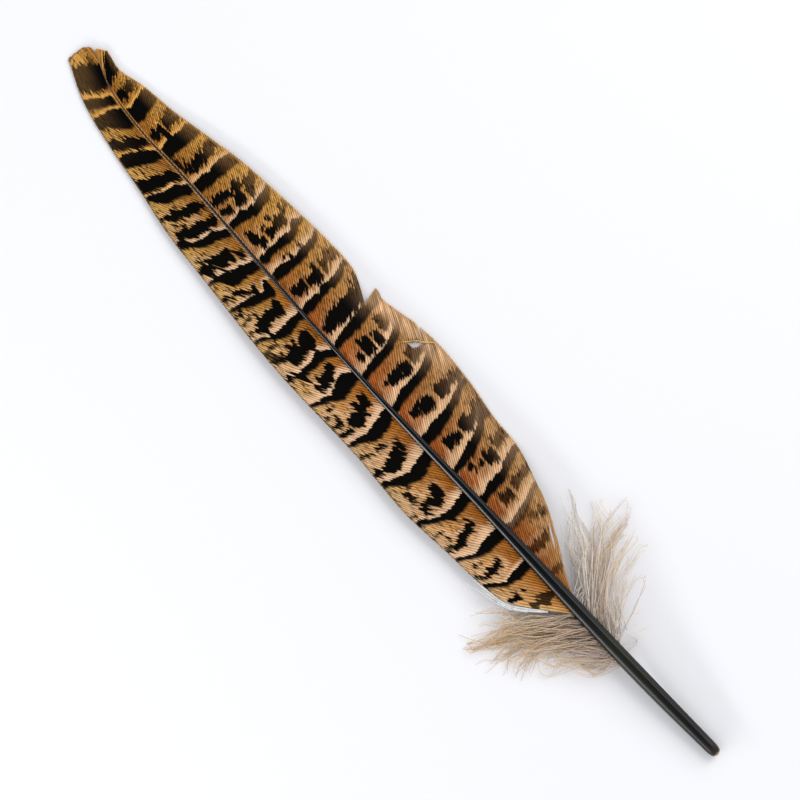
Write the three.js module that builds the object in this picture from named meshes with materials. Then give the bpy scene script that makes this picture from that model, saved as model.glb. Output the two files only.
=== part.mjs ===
// A hen pheasant's shed tail feather, lying on its underside on a level surface.
// Lengths are in millimetres. The quill's end is at the low end of +Y and the tip at the high end,
// +X is the feather's right and +Z is up.
//
// Most of the shape is given along the shaft: "along" is the distance from the quill's end,
// and "out" is the distance from the shaft's centre, square to it, towards one margin.

import * as THREE from 'three';

// Driving dimensions

const SHAFT_LENGTH = 228.7;      // quill's end to the last of the rachis
const BLUNT_END = 2.4;           // length of the quill's rounded end
const VANE_THICKNESS = 0.6;
const GAP = 0.3;                 // clearance between neighbouring pieces
const DOWN_EDGE_THICKNESS = 1.4; // the tuft's loft at its tips
const VANE_ROOT = 0.25;          // height of the vanes' and tufts' roots over the shaft's centre,
const TUFT_ROOT = 0.6;           // as shares of the shaft's radius

// The shaft's centre: sideways bow, distance towards the tip, height above the surface.
const CENTRE_POINTS = [
  [0.1, 0, 1.46],
  [-1.0, 24, 2.8],
  [-1.65, 48, 4.4],
  [-2.15, 84, 5.6],
  [-3.0, 116, 5.6],
  [-3.15, 145, 4.9],
  [-2.6, 175, 3.6],
  [-2.4, 192, 2.7],
  [-2.65, 205, 1.9],
  [-1.45, 218, 1.2],
  [2.1, 227.8, 0.75],
];

// Half the shaft's width, by distance along it.
const SHAFT_RADIUS = profile([
  [BLUNT_END, 1.56],
  [24, 1.86],
  [36, 1.86],
  [62, 1.6],
  [85, 1.15],
  [109, 0.85],
  [133, 0.5],
  [170, 0.36],
  [SHAFT_LENGTH, 0.15],
]);

// Each vane: how high its margin's upper side is, how sharply it bends down towards the margin,
// and its stretches along the shaft, each with where it starts, where it ends by share of the way
// from shaft to margin, and how far the margin stands out from the shaft's centre.
const LEFT_VANE = {
  side: -1,
  marginHeight: profile([
    [50.2, 4.3],
    [73, 2.8],
    [120, 2.6],
    [150, 2.2],
    [195, 0.9],
    [220, 0.3],
  ]),
  bend: 1.5,
  stretches: [{
    start: 50.2,
    end: profile([[0, 229.4], [0.3, 230.6], [1, 230.1]]),
    margin: profile([
      [50.2, 2.2],
      [53.8, 4.4],
      [60.6, 10.5],
      [65.5, 12.0],
      [82.5, 14.0],
      [94.6, 14.8],
      [114, 13.7],
      [140.7, 14.0],
      [169.8, 12.8],
      [184.3, 12.0],
      [203.7, 8.9],
      [220.7, 7.2],
      [231, 6.9],
    ]),
  }],
};

// The right vane is torn across its outer quarter, and its margin stands further in past the tear.
const TEAR_AT = 140;
const TEAR_WIDTH = 0.2;
const RIGHT_VANE = {
  side: 1,
  marginHeight: profile([
    [52.1, 4.3],
    [70, 3.2],
    [104, -0.8],
    [140, -0.8],
    [158, 0.8],
    [190, 1.0],
    [220, 0.3],
  ]),
  bend: 1.7,
  stretches: [{
    start: 52.1,
    end: profile([[0, TEAR_AT - TEAR_WIDTH / 2]]),
    margin: profile([
      [52.1, 2.3],
      [58.2, 5.3],
      [69.1, 11.2],
      [77.6, 13.3],
      [87.3, 16.2],
      [97, 17.0],
      [106.7, 18.6],
      [118, 19.4],
      [131, 18.1],
      [139.9, 17.6],
    ]),
  }, {
    start: TEAR_AT + TEAR_WIDTH / 2,
    end: profile([[0, 229.4], [1, 227.7]]),
    margin: profile([
      [140.1, 13.2],
      [144, 15.2],
      [150.4, 16.2],
      [160, 16.0],
      [184.3, 13.1],
      [194, 11.0],
      [213.4, 7.5],
      [220.7, 5.2],
      [228, 2.4],
      [231, 1.4],
    ]),
  }],
};

// The tufts' outlines, as [along, out] from the shaft's side round the tips to the vane's foot.
const LEFT_TUFT = {
  side: -1,
  reach: 28,
  outline: [
    [31.5, 2.3], [36.5, 7.5], [42, 10], [47, 17], [47.5, 23], [54, 28], [61.5, 27],
    [67, 25.2], [67.5, 17], [61, 13.5], [54.5, 8.5], [50.5, 4.8], [48.5, 2.3],
  ],
};

const RIGHT_TUFT = {
  side: 1,
  reach: 29.6,
  outline: [
    [34.5, 2.3], [36.5, 13], [42, 25], [49, 22.5], [54, 25], [58.5, 29.6], [66, 26],
    [70, 22], [72.5, 16.2], [68, 13.8], [60.5, 9.2], [54.5, 5.8], [50, 2.3],
  ],
};

const STEPS_ROUND_SHAFT = 16;
const SHAFT_STATIONS = 64;
const VANE_STEP = 3;   // spacing of the vane's stations along the shaft
const VANE_ROWS = 10;  // rows from the shaft to the margin

// Shared shape helpers

// A smooth curve through [distance, value] pairs, flat beyond both ends.
function profile(knots) {
  const slope = (a, b) => (b[1] - a[1]) / (b[0] - a[0]);
  const last = knots.length - 1;
  return (distance) => {
    if (distance <= knots[0][0]) return knots[0][1];
    if (distance >= knots[last][0]) return knots[last][1];
    const i = knots.findIndex(([at]) => at > distance) - 1;
    const [from, to] = [knots[i], knots[i + 1]];
    const span = to[0] - from[0];
    const startSlope = slope(knots[Math.max(i - 1, 0)], to) * span;
    const endSlope = slope(from, knots[Math.min(i + 2, last)]) * span;
    const u = (distance - from[0]) / span;
    const [u2, u3] = [u * u, u * u * u];
    return (2 * u3 - 3 * u2 + 1) * from[1] + (u3 - 2 * u2 + u) * startSlope
      + (3 * u2 - 2 * u3) * to[1] + (u3 - u2) * endSlope;
  };
}

const centreCurve = new THREE.CatmullRomCurve3(
  CENTRE_POINTS.map(([x, y, z]) => new THREE.Vector3(x, y, z)), false, 'catmullrom', 0.5);
centreCurve.arcLengthDivisions = 600;

// The shaft's centre, its direction and the direction to the feather's right, at a distance along.
function shaftFrame(along) {
  const u = THREE.MathUtils.clamp(along / SHAFT_LENGTH, 0, 1);
  const centre = centreCurve.getPointAt(u);
  const tangent = centreCurve.getTangentAt(u);
  const right = new THREE.Vector3(tangent.y, -tangent.x, 0).normalize();
  const past = along - u * SHAFT_LENGTH;
  const forward = new THREE.Vector3(tangent.x, tangent.y, 0).normalize();
  return { centre: centre.addScaledVector(forward, past), tangent, right };
}

// Moves every vertex of a geometry by a function of its position.
function reshape(geometry, move) {
  const place = geometry.attributes.position;
  const vertex = new THREE.Vector3();
  for (let i = 0; i < place.count; i += 1) {
    vertex.fromBufferAttribute(place, i);
    move(vertex);
    place.setXYZ(i, vertex.x, vertex.y, vertex.z);
  }
  geometry.computeVertexNormals();
  return geometry;
}

function piece(name, geometry, colour, roughness) {
  const material = new THREE.MeshStandardMaterial({ color: colour, roughness, metalness: 0 });
  const mesh = new THREE.Mesh(geometry, material);
  mesh.name = name;
  return mesh;
}

// Shaft: the bare quill with its blunt end, and the rachis that tapers from it to the tip.

function shaft() {
  const profilePoints = [
    new THREE.Vector2(0, 0),
    new THREE.Vector2(0.95, 0.1),
    new THREE.Vector2(1.35, 0.7),
  ];
  for (let i = 0; i <= SHAFT_STATIONS; i += 1) {
    const along = THREE.MathUtils.lerp(BLUNT_END, SHAFT_LENGTH, i / SHAFT_STATIONS);
    profilePoints.push(new THREE.Vector2(SHAFT_RADIUS(along), along));
  }
  profilePoints.push(new THREE.Vector2(0, SHAFT_LENGTH));
  const geometry = new THREE.LatheGeometry(profilePoints, STEPS_ROUND_SHAFT);
  reshape(geometry, (vertex) => {
    const { x: sideways, y: along, z: upwards } = vertex;
    const frame = shaftFrame(along);
    const up = new THREE.Vector3().crossVectors(frame.right, frame.tangent);
    vertex.copy(frame.centre).addScaledVector(frame.right, sideways).addScaledVector(up, upwards);
  });
  return piece('shaft', geometry, 0x1b1c20, 0.25);
}

// Vanes: thin sheets that leave the shaft's flanks and bend down towards their margins.

// The vane's stations: which stretch each is on, and how far through it.
function vaneStations(shape) {
  return shape.stretches.flatMap((stretch) => {
    const steps = Math.round((stretch.end(0) - stretch.start) / VANE_STEP);
    return Array.from({ length: steps + 1 }, (_, i) => ({ stretch, through: i / steps }));
  });
}

function vane(name, shape, colour) {
  const stations = vaneStations(shape);
  const columns = stations.length - 1;
  const geometry = new THREE.BoxGeometry(VANE_ROWS, columns, 1, VANE_ROWS, columns, 1);
  reshape(geometry, (vertex) => {
    const share = shape.side * (vertex.x / VANE_ROWS) + 0.5;
    const isTop = vertex.z > 0;
    const { stretch, through } = stations[Math.round(vertex.y + columns / 2)];

    const along = THREE.MathUtils.lerp(stretch.start, stretch.end(share), through);
    const root = SHAFT_RADIUS(along) + GAP;
    const out = THREE.MathUtils.lerp(root, stretch.margin(along), share);

    const frame = shaftFrame(along);
    const rootHeight = frame.centre.z + VANE_ROOT * SHAFT_RADIUS(along) + VANE_THICKNESS / 2;
    const drop = (rootHeight - shape.marginHeight(along)) * share ** shape.bend;
    const top = Math.max(rootHeight - drop, VANE_THICKNESS);

    vertex.copy(frame.centre).addScaledVector(frame.right, shape.side * out);
    vertex.z = isTop ? top : top - VANE_THICKNESS;
  });
  return piece(name, geometry, colour, 0.6);
}

// Down: the room that each tuft of loose barbs takes up, flat below where it lies on the surface.

function tuft(name, shape, colour) {
  const outline = new THREE.Shape(
    shape.outline.map(([along, out]) => new THREE.Vector2(shape.side * out, along)));
  const geometry = new THREE.ExtrudeGeometry(outline, { depth: 1, bevelEnabled: false });
  reshape(geometry, (vertex) => {
    const isTop = vertex.z > 0.5;
    const out = Math.abs(vertex.x);
    const frame = shaftFrame(vertex.y);
    const rootHeight = frame.centre.z + TUFT_ROOT * SHAFT_RADIUS(vertex.y);
    const top = THREE.MathUtils.lerp(rootHeight, DOWN_EDGE_THICKNESS, out / shape.reach);
    vertex.copy(frame.centre).addScaledVector(frame.right, shape.side * out);
    vertex.z = isTop ? top : 0;
  });
  return piece(name, geometry, colour, 0.9);
}

const feather = new THREE.Group();
feather.add(
  shaft(),
  vane('left_vane', LEFT_VANE, 0x9c6f42),
  vane('right_vane', RIGHT_VANE, 0xa8713f),
  tuft('left_down', LEFT_TUFT, 0xa08a74),
  tuft('right_down', RIGHT_TUFT, 0xb09a84),
);

// The origin is under the middle of the feather, on the surface that it lies on.
const box = new THREE.Box3().setFromObject(feather);
feather.position.set(-(box.min.x + box.max.x) / 2, -(box.min.y + box.max.y) / 2, -box.min.z);

export default feather;
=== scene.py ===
# %% [markdown]
# # A hen pheasant's tail feather
#
# The feather lies on its underside. Its imported solids are loaded first, as a fixed frame: a shaft,
# two vanes and two tufts of down. The shaft, vanes and tufts made below each take the place of one of
# them, so each has to sit where that solid sits. Lengths are written in millimetres and turned into
# metres at the end, because barbs and markings are easier to think of in millimetres.

# %% Load the frame
import math

import bmesh
import bpy
import numpy as np
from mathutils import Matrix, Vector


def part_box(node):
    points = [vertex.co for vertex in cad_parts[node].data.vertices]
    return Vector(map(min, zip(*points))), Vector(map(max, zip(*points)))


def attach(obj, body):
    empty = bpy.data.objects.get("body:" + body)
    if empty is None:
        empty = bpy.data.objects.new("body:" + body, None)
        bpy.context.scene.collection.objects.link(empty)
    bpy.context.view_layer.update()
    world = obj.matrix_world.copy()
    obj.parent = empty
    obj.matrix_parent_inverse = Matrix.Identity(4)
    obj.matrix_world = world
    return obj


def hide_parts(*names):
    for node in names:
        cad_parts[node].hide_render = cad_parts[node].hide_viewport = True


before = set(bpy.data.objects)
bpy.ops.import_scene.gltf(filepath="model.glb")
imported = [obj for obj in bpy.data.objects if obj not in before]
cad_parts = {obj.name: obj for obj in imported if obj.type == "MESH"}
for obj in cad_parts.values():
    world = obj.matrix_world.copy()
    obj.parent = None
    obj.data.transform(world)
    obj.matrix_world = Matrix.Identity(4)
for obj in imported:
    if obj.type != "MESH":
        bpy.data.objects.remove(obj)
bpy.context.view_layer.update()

MM = 0.001
print("nodes:", sorted(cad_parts))

# %% [markdown]
# ## The line of the shaft
#
# A feather is laid out along its shaft, so the first helper is a smooth curve through a few values,
# and the first shape is the shaft's centre line: a slight bow sideways, and a rise from the surface
# at the quill to the middle and down again to the tip. Everything else is placed by two numbers:
# "along", the distance from the quill's end, and "out", the distance square to the shaft.

# %% The centre line
SHAFT_LENGTH = 228.7
CENTRE_POINTS = np.array([
    (0.1, 0, 1.46), (-1.0, 24, 2.8), (-1.65, 48, 4.4), (-2.15, 84, 5.6), (-3.0, 116, 5.6),
    (-3.15, 145, 4.9), (-2.6, 175, 3.6), (-2.4, 192, 2.7), (-2.65, 205, 1.9), (-1.45, 218, 1.2),
    (2.1, 227.8, 0.75),
])


def profile(knots):
    """A smooth curve through (distance, value) pairs, flat beyond both ends."""
    at, value = np.array(knots, float).T
    last = len(at) - 1
    before = np.maximum(np.arange(last + 1) - 1, 0)
    after = np.minimum(np.arange(last + 1) + 1, last)
    slope = (value[after] - value[before]) / (at[after] - at[before])

    def curve(distance):
        inside = np.clip(distance, at[0], at[last])
        i = np.clip(np.searchsorted(at, inside, side="right") - 1, 0, last - 1)
        span = at[i + 1] - at[i]
        u = (inside - at[i]) / span
        rise = 3 * u**2 - 2 * u**3
        leave = (u**3 - 2 * u**2 + u) * slope[i] * span
        arrive = (u**3 - u**2) * slope[i + 1] * span
        return value[i] + rise * (value[i + 1] - value[i]) + leave + arrive

    return curve


def smooth_step(value, low, high):
    share = np.clip((value - low) / (high - low), 0, 1)
    return share * share * (3 - 2 * share)


def smooth_line(points, steps=60):
    """Points on a smooth line that passes through all the given ones."""
    ends = [2 * points[0] - points[1], *points, 2 * points[-1] - points[-2]]
    u = np.linspace(0, 1, steps, endpoint=False)[:, None]
    stretches = []
    for a, b, c, d in zip(ends, ends[1:], ends[2:], ends[3:]):
        cubic = (3 * b - a - 3 * c + d) * u**3 + (2 * a - 5 * b + 4 * c - d) * u**2
        stretches.append(0.5 * (cubic + (c - a) * u + 2 * b))
    return np.vstack([*stretches, points[-1:]])


line = smooth_line(CENTRE_POINTS)
travelled = np.r_[0, np.cumsum(np.linalg.norm(np.diff(line, axis=0), axis=1))]
travelled *= SHAFT_LENGTH / travelled[-1]
heading = np.gradient(line, travelled, axis=0)
level = np.linalg.norm(heading[:, :2], axis=1)


def along_line(values, along):
    return np.interp(np.clip(along, 0, SHAFT_LENGTH), travelled, values)


def place(along, out, height):
    """Points at distances along the shaft, out to its right and over the surface."""
    forward = [along_line(heading[:, k] / level, along) for k in (0, 1)]
    past = along - np.clip(along, 0, SHAFT_LENGTH)
    x = along_line(line[:, 0], along) + past * forward[0] + out * forward[1]
    y = along_line(line[:, 1], along) + past * forward[1] - out * forward[0]
    return np.stack(np.broadcast_arrays(x, y, height), axis=-1)


SHAFT_RADIUS = profile([
    (2.4, 1.56), (24, 1.86), (36, 1.86), (62, 1.6), (85, 1.15), (109, 0.85), (133, 0.5),
    (170, 0.36), (SHAFT_LENGTH, 0.15),
])

steps = np.linspace(0, SHAFT_LENGTH, 500)
flanks = np.vstack([place(steps, side * SHAFT_RADIUS(steps), 0) for side in (-1, 1)])
low, high = (np.array(corner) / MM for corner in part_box("shaft"))
shift = (low + high) / 2 - (flanks.min(axis=0) + flanks.max(axis=0)) / 2
shift[2] = 0
print("the centre line moves by", shift.round(3), "mm to lie in the packed shaft")

# %% [markdown]
# ## Camera, light and floor
#
# The feather is seen from straight above, turned so that its tip points to the upper left. A long
# lens from far away keeps the outline free of perspective. One large soft lamp stands low to the
# feather's right, so that the barbs catch it and the shadow falls to the left. A long low strip on
# the left draws the bright line that polished horn shows on its shoulder. The sky fills the rest. It
# is dim straight overhead, where the camera hangs, so the flat top of the shaft stays dark.

# %% Camera and light
CAMERA_HEIGHT = 1.2
VIEW_WIDTH = 0.194
VIEW_MIDDLE = (0.0013, -0.0002)
VIEW_TURN = math.radians(-42)
SKY_AROUND = 0.87       # the sky's strength
SKY_OVERHEAD = 0.14


def new_object(name, data):
    made = bpy.data.objects.new(name, data)
    bpy.context.collection.objects.link(made)
    return made


def white_lamp(name, size, power, where, tilt):
    lamp = bpy.data.lights.new(name, "AREA")
    lamp.shape = "RECTANGLE"
    lamp.size, lamp.size_y = size
    lamp.energy = power
    stand = new_object(name, lamp)
    stand.location = where
    stand.rotation_euler = (0, math.radians(tilt), 0)


lens = bpy.data.cameras.new("camera")
lens.sensor_width = 36
lens.lens = lens.sensor_width * CAMERA_HEIGHT / VIEW_WIDTH
camera = new_object("camera", lens)
camera.location = (*VIEW_MIDDLE, CAMERA_HEIGHT)
camera.rotation_euler = (0, 0, VIEW_TURN)
scene = bpy.context.scene
scene.camera = camera
scene.view_settings.view_transform = "Standard"

white_lamp("key", size=(0.65, 0.65), power=4.5, where=(0.75, 0.05, 0.6), tilt=51)
white_lamp("strip", size=(0.05, 0.7), power=1.4, where=(-0.5, 0, 0.163), tilt=-72)

sky = bpy.data.worlds.new("sky")
sky.use_nodes = True
sky.node_tree.nodes["Background"].inputs["Color"].default_value = (0.96, 0.97, 1.0, 1)
direction = sky.node_tree.nodes.new("ShaderNodeTexCoord")
split = sky.node_tree.nodes.new("ShaderNodeSeparateXYZ")
overhead = sky.node_tree.nodes.new("ShaderNodeMapRange")
for name, value in [
    ("From Min", 0.84), ("From Max", 0.94), ("To Min", SKY_AROUND), ("To Max", SKY_OVERHEAD),
]:
    overhead.inputs[name].default_value = value
sky.node_tree.links.new(split.inputs[0], direction.outputs["Generated"])
sky.node_tree.links.new(overhead.inputs["Value"], split.outputs["Z"])
sky.node_tree.links.new(sky.node_tree.nodes["Background"].inputs["Strength"], overhead.outputs[0])
scene.world = sky


# %% The floor
def as_mesh(name, bm):
    mesh = bpy.data.meshes.new(name)
    bm.to_mesh(mesh)
    bm.free()
    return mesh


bm = bmesh.new()
bmesh.ops.create_grid(bm, x_segments=1, y_segments=1, size=3)
floor = new_object("floor", as_mesh("floor", bm))
paper = bpy.data.materials.new("pale_paper")
paper.use_nodes = True
matt = paper.node_tree.nodes["Principled BSDF"].inputs
matt["Base Color"].default_value = (0.9, 0.9, 0.92, 1)
matt["Roughness"].default_value = 0.9
matt["Specular IOR Level"].default_value = 0.1
floor.data.materials.append(paper)
print("lens", round(lens.lens, 1), "mm")

# %% [markdown]
# ## Small helpers for meshes and finishes
#
# A mesh is shaped flat first and bent into place afterwards, so one helper reads all its vertices as
# an array and another writes them back. A finish is a tree of nodes, and the helpers below let a
# tree be written as a sum is: each takes numbers or the outputs of other nodes.

# %% Mesh helpers
END_LOBE = 0.004    # how far a flat end's odd corner is pulled out on the map


def vertices_of(mesh):
    flat = np.empty(len(mesh.vertices) * 3)
    mesh.vertices.foreach_get("co", flat)
    return flat.reshape(-1, 3)


def set_vertices(mesh, points):
    """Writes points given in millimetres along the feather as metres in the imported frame."""
    mesh.vertices.foreach_set("co", ((points + shift) * MM).ravel())
    mesh.update()


def set_attribute(mesh, name, values):
    layer = mesh.attributes.new(name, "FLOAT", "POINT")
    layer.data.foreach_set("value", np.ascontiguousarray(values, dtype=np.float32))


def set_map(mesh, across, up, period):
    """A map of round pieces, from two numbers for each vertex. A face that closes a ring, from the
    end of its round back to the start, takes its low corners one round further up. A flat end is
    one face at a single distance across, so one of its corners is pulled past the rest."""
    layer = mesh.uv_layers.new(name="OFBake")
    for face in mesh.polygons:
        corners = list(face.vertices)
        height = up[corners]
        if np.ptp(height) > 0.5 * period:
            height = np.where(height < height.max() - 0.5 * period, height + period, height)
        width = across[corners]
        if np.ptp(width) < 1e-6:
            width[1] += END_LOBE if width[0] > 0.98 else -END_LOBE
        for corner, spot in zip(face.loop_indices, zip(width, height)):
            layer.data[corner].uv = spot


def finished(mesh, node, material):
    piece = new_object(mesh.name, mesh)
    mesh.materials.append(material)
    mesh.polygons.foreach_set("use_smooth", [True] * len(mesh.polygons))
    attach(piece, "root")
    if node:
        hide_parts(node)
    triangles = sum(len(face.vertices) - 2 for face in mesh.polygons)
    print(f"{piece.name}: {triangles} triangles")


# %% Finish helpers
def linear(red, green, blue):
    """A colour as a screen gives it, 0 to 255, as the plain light that a shader reckons with."""
    shares = [channel / 255 for channel in (red, green, blue)]
    return (*[s / 12.92 if s < 0.04045 else ((s + 0.055) / 1.055) ** 2.4 for s in shares], 1)


class Finish:
    """A material and the tree of nodes that makes it."""

    def __init__(self, name, roughness, specular):
        self.material = bpy.data.materials.new(name)
        self.material.use_nodes = True
        self.tree = self.material.node_tree
        self.shader = self.tree.nodes["Principled BSDF"]
        self.shader.inputs["Roughness"].default_value = roughness
        self.shader.inputs["Specular IOR Level"].default_value = specular

    def join(self, socket, value):
        if isinstance(value, bpy.types.NodeSocket):
            self.tree.links.new(value, socket)
        else:
            socket.default_value = value

    def link(self, socket, value):
        """Joins a value to one of the shader's own sockets."""
        self.join(self.shader.inputs[socket], value)

    def make(self, kind, values, output=0, **settings):
        made = self.tree.nodes.new("ShaderNode" + kind)
        for name, setting in settings.items():
            setattr(made, name, setting)
        for key, value in values.items():
            self.join(made.inputs[key], value)
        return made.outputs[output]

    def attribute(self, name):
        return self.make("Attribute", {}, "Fac", attribute_name=name)

    def maths(self, operation, first, second, third=0.0):
        return self.make("Math", {0: first, 1: second, 2: third}, operation=operation)

    def ramp(self, value, low, high, to_low=0.0, to_high=1.0, smooth=False):
        kind = "SMOOTHSTEP" if smooth else "LINEAR"
        ends = {"Value": value, "From Min": low, "From Max": high, "To Min": to_low, "To Max": to_high}
        return self.make("MapRange", ends, interpolation_type=kind, clamp=True)

    def blend(self, share, first, second, kind="MIX"):
        """A colour between two others, by share."""
        values = {0: share, 6: first, 7: second}
        return self.make("Mix", values, 2, data_type="RGBA", blend_type=kind, clamp_factor=True)

    def lit(self, shade, light):
        """A colour made lighter or darker by a number."""
        return self.blend(1.0, shade, self.make("CombineXYZ", {0: light, 1: light, 2: light}), "MULTIPLY")

    def colours(self, value, stops):
        """A colour by value, from (value, colour) stops."""
        colour = self.make("ValToRGB", {"Fac": value})
        elements = colour.node.color_ramp.elements
        while len(elements) < len(stops):
            elements.new(0.5)
        for element, (at, shade) in zip(elements, stops):
            element.position = at
            element.color = shade
        return colour

    def noise(self, sizes, detail=2.0):
        """Noise on the piece's own map, with so many waves across it and up it."""
        spot = self.make("TexCoord", {}, "UV")
        stretched = self.make("Mapping", {"Vector": spot, "Scale": (*sizes, 1)})
        return self.make("TexNoise", {"Vector": stretched, "Scale": 1.0, "Detail": detail}, "Fac")

    def bump(self, height, depth):
        """Roughens the surface by a height, to a depth in millimetres."""
        values = {"Strength": 1.0, "Distance": depth * MM, "Height": height}
        self.link("Normal", self.make("Bump", values))


# %% [markdown]
# ## The shaft
#
# The bare quill is a tube of dark horn with a blunt end where it sat in the skin. From the vanes on
# it is the rachis, thinning to a hair at the tip. Neither is quite round: horn grows with flat sides,
# and the flat on the left shoulder is what catches the light as one even line. A cylinder with many
# rings is enough for both. Each ring is drawn in towards an outline with flats and soft corners, one
# flat of it level on top and wider ones on the right, and is then moved onto the centre line.

# %% Shape the shaft
SHAFT_SIDES = 80
SHAFT_RINGS = 220
BLUNT_END = 2.4               # length of the quill's rounded end
END_PROFILE = [
    (0, 0.0), (0.08, 0.5), (0.3, 0.88), (0.6, 1.12), (1.2, 1.36), (1.9, 1.5), (BLUNT_END, 1.56),
]
THINNED_BY = 0.2              # how much thinner than its solid the shaft is near the tip
LEFT_FLAT = math.pi / 10      # half the angle that one flat takes up, on either side
RIGHT_FLAT = math.pi / 8
FLAT_DEPTH = 0.98             # distance of a flat from the centre, as a share of the radius
LEFT_SOFTENED = profile([(60, 0.45), (120, 0.0)])   # how much rounder the left flat is
FLATNESS = profile([
    (3, 0.2), (12, 0.75), (45, 0.9), (60, 1.0), (150, 1.0), (185, 0.4), (SHAFT_LENGTH, 0.2),
])
ROUND_ON_MAP = 0.93           # how much of the map's height one round takes up


def cut_into_rings(bm, cuts):
    """Cuts an upright cone across into short lengths."""
    lengthwise = [edge for edge in bm.edges if abs(edge.verts[0].co.z - edge.verts[1].co.z) > 0.5]
    bmesh.ops.subdivide_edges(bm, edges=lengthwise, cuts=cuts, use_grid_fill=True)


bm = bmesh.new()
bmesh.ops.create_cone(bm, cap_ends=True, segments=SHAFT_SIDES, radius1=1, radius2=1, depth=1)
cut_into_rings(bm, SHAFT_RINGS)
caps = [face for face in bm.faces if len(face.verts) > 4]
bmesh.ops.poke(bm, faces=caps)
bmesh.ops.recalc_face_normals(bm, faces=bm.faces)
shaft_mesh = as_mesh("shaft", bm)

# %% Bend the shaft
rod = vertices_of(shaft_mesh)
through = rod[:, 2] + 0.5
angle = np.arctan2(rod[:, 1], rod[:, 0])
is_middle = np.hypot(rod[:, 0], rod[:, 1]) < 0.5
shaft_along = SHAFT_LENGTH * (0.12 * through + 0.88 * through**1.15)   # rings crowd at the quill's end
blunt = np.interp(shaft_along, *np.array(END_PROFILE).T)
radius = np.where(shaft_along < BLUNT_END, blunt, SHAFT_RADIUS(shaft_along)) * ~is_middle
radius = radius * (1 - THINNED_BY * smooth_step(shaft_along, 150, 195))
half_flat = np.where(np.cos(angle) > 0, RIGHT_FLAT, LEFT_FLAT)
from_flat = (angle - math.pi / 2 + half_flat) % (2 * half_flat) - half_flat
flattened = FLAT_DEPTH / np.cos(from_flat)
softened = LEFT_SOFTENED(shaft_along) * smooth_step(-np.cos(angle), 0, 0.25)
radius = radius * (1 + FLATNESS(shaft_along) * (1 - softened) * (flattened - 1))
across = np.cos(angle) * radius
upward = np.sin(angle) * radius
middle_height = along_line(line[:, 2], shaft_along)
beyond_end = 0.015 * is_middle * np.sign(through - 0.5)
round_share = np.where(is_middle, 0.5, angle / (2 * math.pi) + 0.5)
set_vertices(shaft_mesh, place(shaft_along, across, np.maximum(middle_height + upward, 0.02)))
set_attribute(shaft_mesh, "along", shaft_along / SHAFT_LENGTH)
map_across = 0.02 + 0.96 * through + beyond_end
set_map(shaft_mesh, map_across, 0.02 + ROUND_ON_MAP * round_share, ROUND_ON_MAP)

# %% [markdown]
# ## Dark horn
#
# Horn is nearly black here and polished: a warm black on the quill, blue-black among the vanes, and
# brown where it thins out to the tip. A few long fine scratches run down the quill. The colour is
# mixed from the place along the shaft, and the scratches are a noise stretched along it. There is no
# bump, because the bright line on the shoulder has to stay unbroken.

# %% Finish the shaft
horn = Finish("dark_horn", 0.15, 0.32)
down_shaft = horn.attribute("along")
base = horn.colours(down_shaft, [
    (0.0, linear(206, 178, 134)), (0.0032, linear(34, 26, 20)), (0.03, linear(14, 14, 17)),
    (0.1, linear(24, 24, 19)), (0.16, linear(30, 30, 23)), (0.22, linear(17, 18, 18)),
    (0.3, linear(7, 8, 11)), (0.8, linear(9, 8, 9)), (0.92, linear(34, 24, 17)),
    (0.97, linear(96, 66, 42)), (1.0, linear(160, 118, 80)),
])
grain = horn.noise((12, 50), 3.0)
shade = horn.lit(base, horn.ramp(grain, 0.35, 0.75, 0.8, 1.25))
scratch = horn.noise((16, 230))
on_quill = horn.ramp(down_shaft, 0.14, 0.24, 0.35, 0.0)
scratched = horn.maths("MULTIPLY", horn.ramp(scratch, 0.7, 0.74), on_quill)
horn.link("Base Color", horn.blend(scratched, shade, linear(120, 120, 112)))
dull_quill = horn.ramp(down_shaft, 0.08, 0.24, 0.12, 0.0)
duller = horn.maths("ADD", dull_quill, horn.ramp(down_shaft, 0.5, 0.72, 0.0, 0.15))
horn.link("Roughness", horn.maths("ADD", horn.ramp(grain, 0.3, 0.8, 0.15, 0.17), duller))
finished(shaft_mesh, "shaft", horn.material)

# %% [markdown]
# ## How the barbs run
#
# A vane is a sheet of barbs, about 0.6 mm apart, hooked edge to edge. Each leaves the shaft towards
# the tip at some 30 degrees and bends further that way near the margin. The sheet could be one flat
# surface with painted lines, or hundreds of separate strips. A grid with four columns for each barb
# is better than both: every barb gets a real ridge and a real groove, and the sheet stays whole.
# The margin sets how long each barb is, and the tear and the worn tip cut them short.

# %% The vanes' outlines
BARB_SPACING = 1.05     # from root to root along the shaft, which is 0.6 mm square to the barbs
SHEET_THICKNESS = 0.22
TEAR_AT = 138.6         # where the right vane's tear has its inner end, along and out
TEAR_OUT = 12.6
TEAR_LEAN = 0.26        # how far the tear runs towards the tip for each millimetre out
WHOLE_AGAIN = 152       # where the right margin is back on its line past the tear

left_margin = profile([
    (48.2, 1.9), (51.5, 3.7), (55.2, 6.6), (58.2, 9.1), (61.8, 11.7), (64.7, 12.3), (68.3, 12.9),
    (72.8, 13.4), (82.5, 14), (94.6, 14.8), (114, 13.7), (140.7, 14), (169.8, 12.8), (184.3, 12),
    (203.7, 8.9), (220.7, 7.2), (231, 6.9),
])
right_margin = profile([
    (52.1, 2.3), (58.2, 5.3), (69.1, 11.2), (77.6, 13.3), (87.3, 16.2), (97, 17), (106.7, 18.6),
    (118, 19.4), (126, 18.8), (133.3, 17.3), (137, 16.7), (139.9, 17.5), (146, 17), (WHOLE_AGAIN, 16.5),
    (160, 16), (184.3, 13.1), (194, 11), (213.4, 7.5), (217.5, 6.2), (223.6, 3.6), (231, 2.4),
])
past_tear = profile([
    (TEAR_AT, TEAR_OUT), (140.4, 13.5), (144.4, 15.7), (148, 16.4), (WHOLE_AGAIN, 16.5),
])


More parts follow.
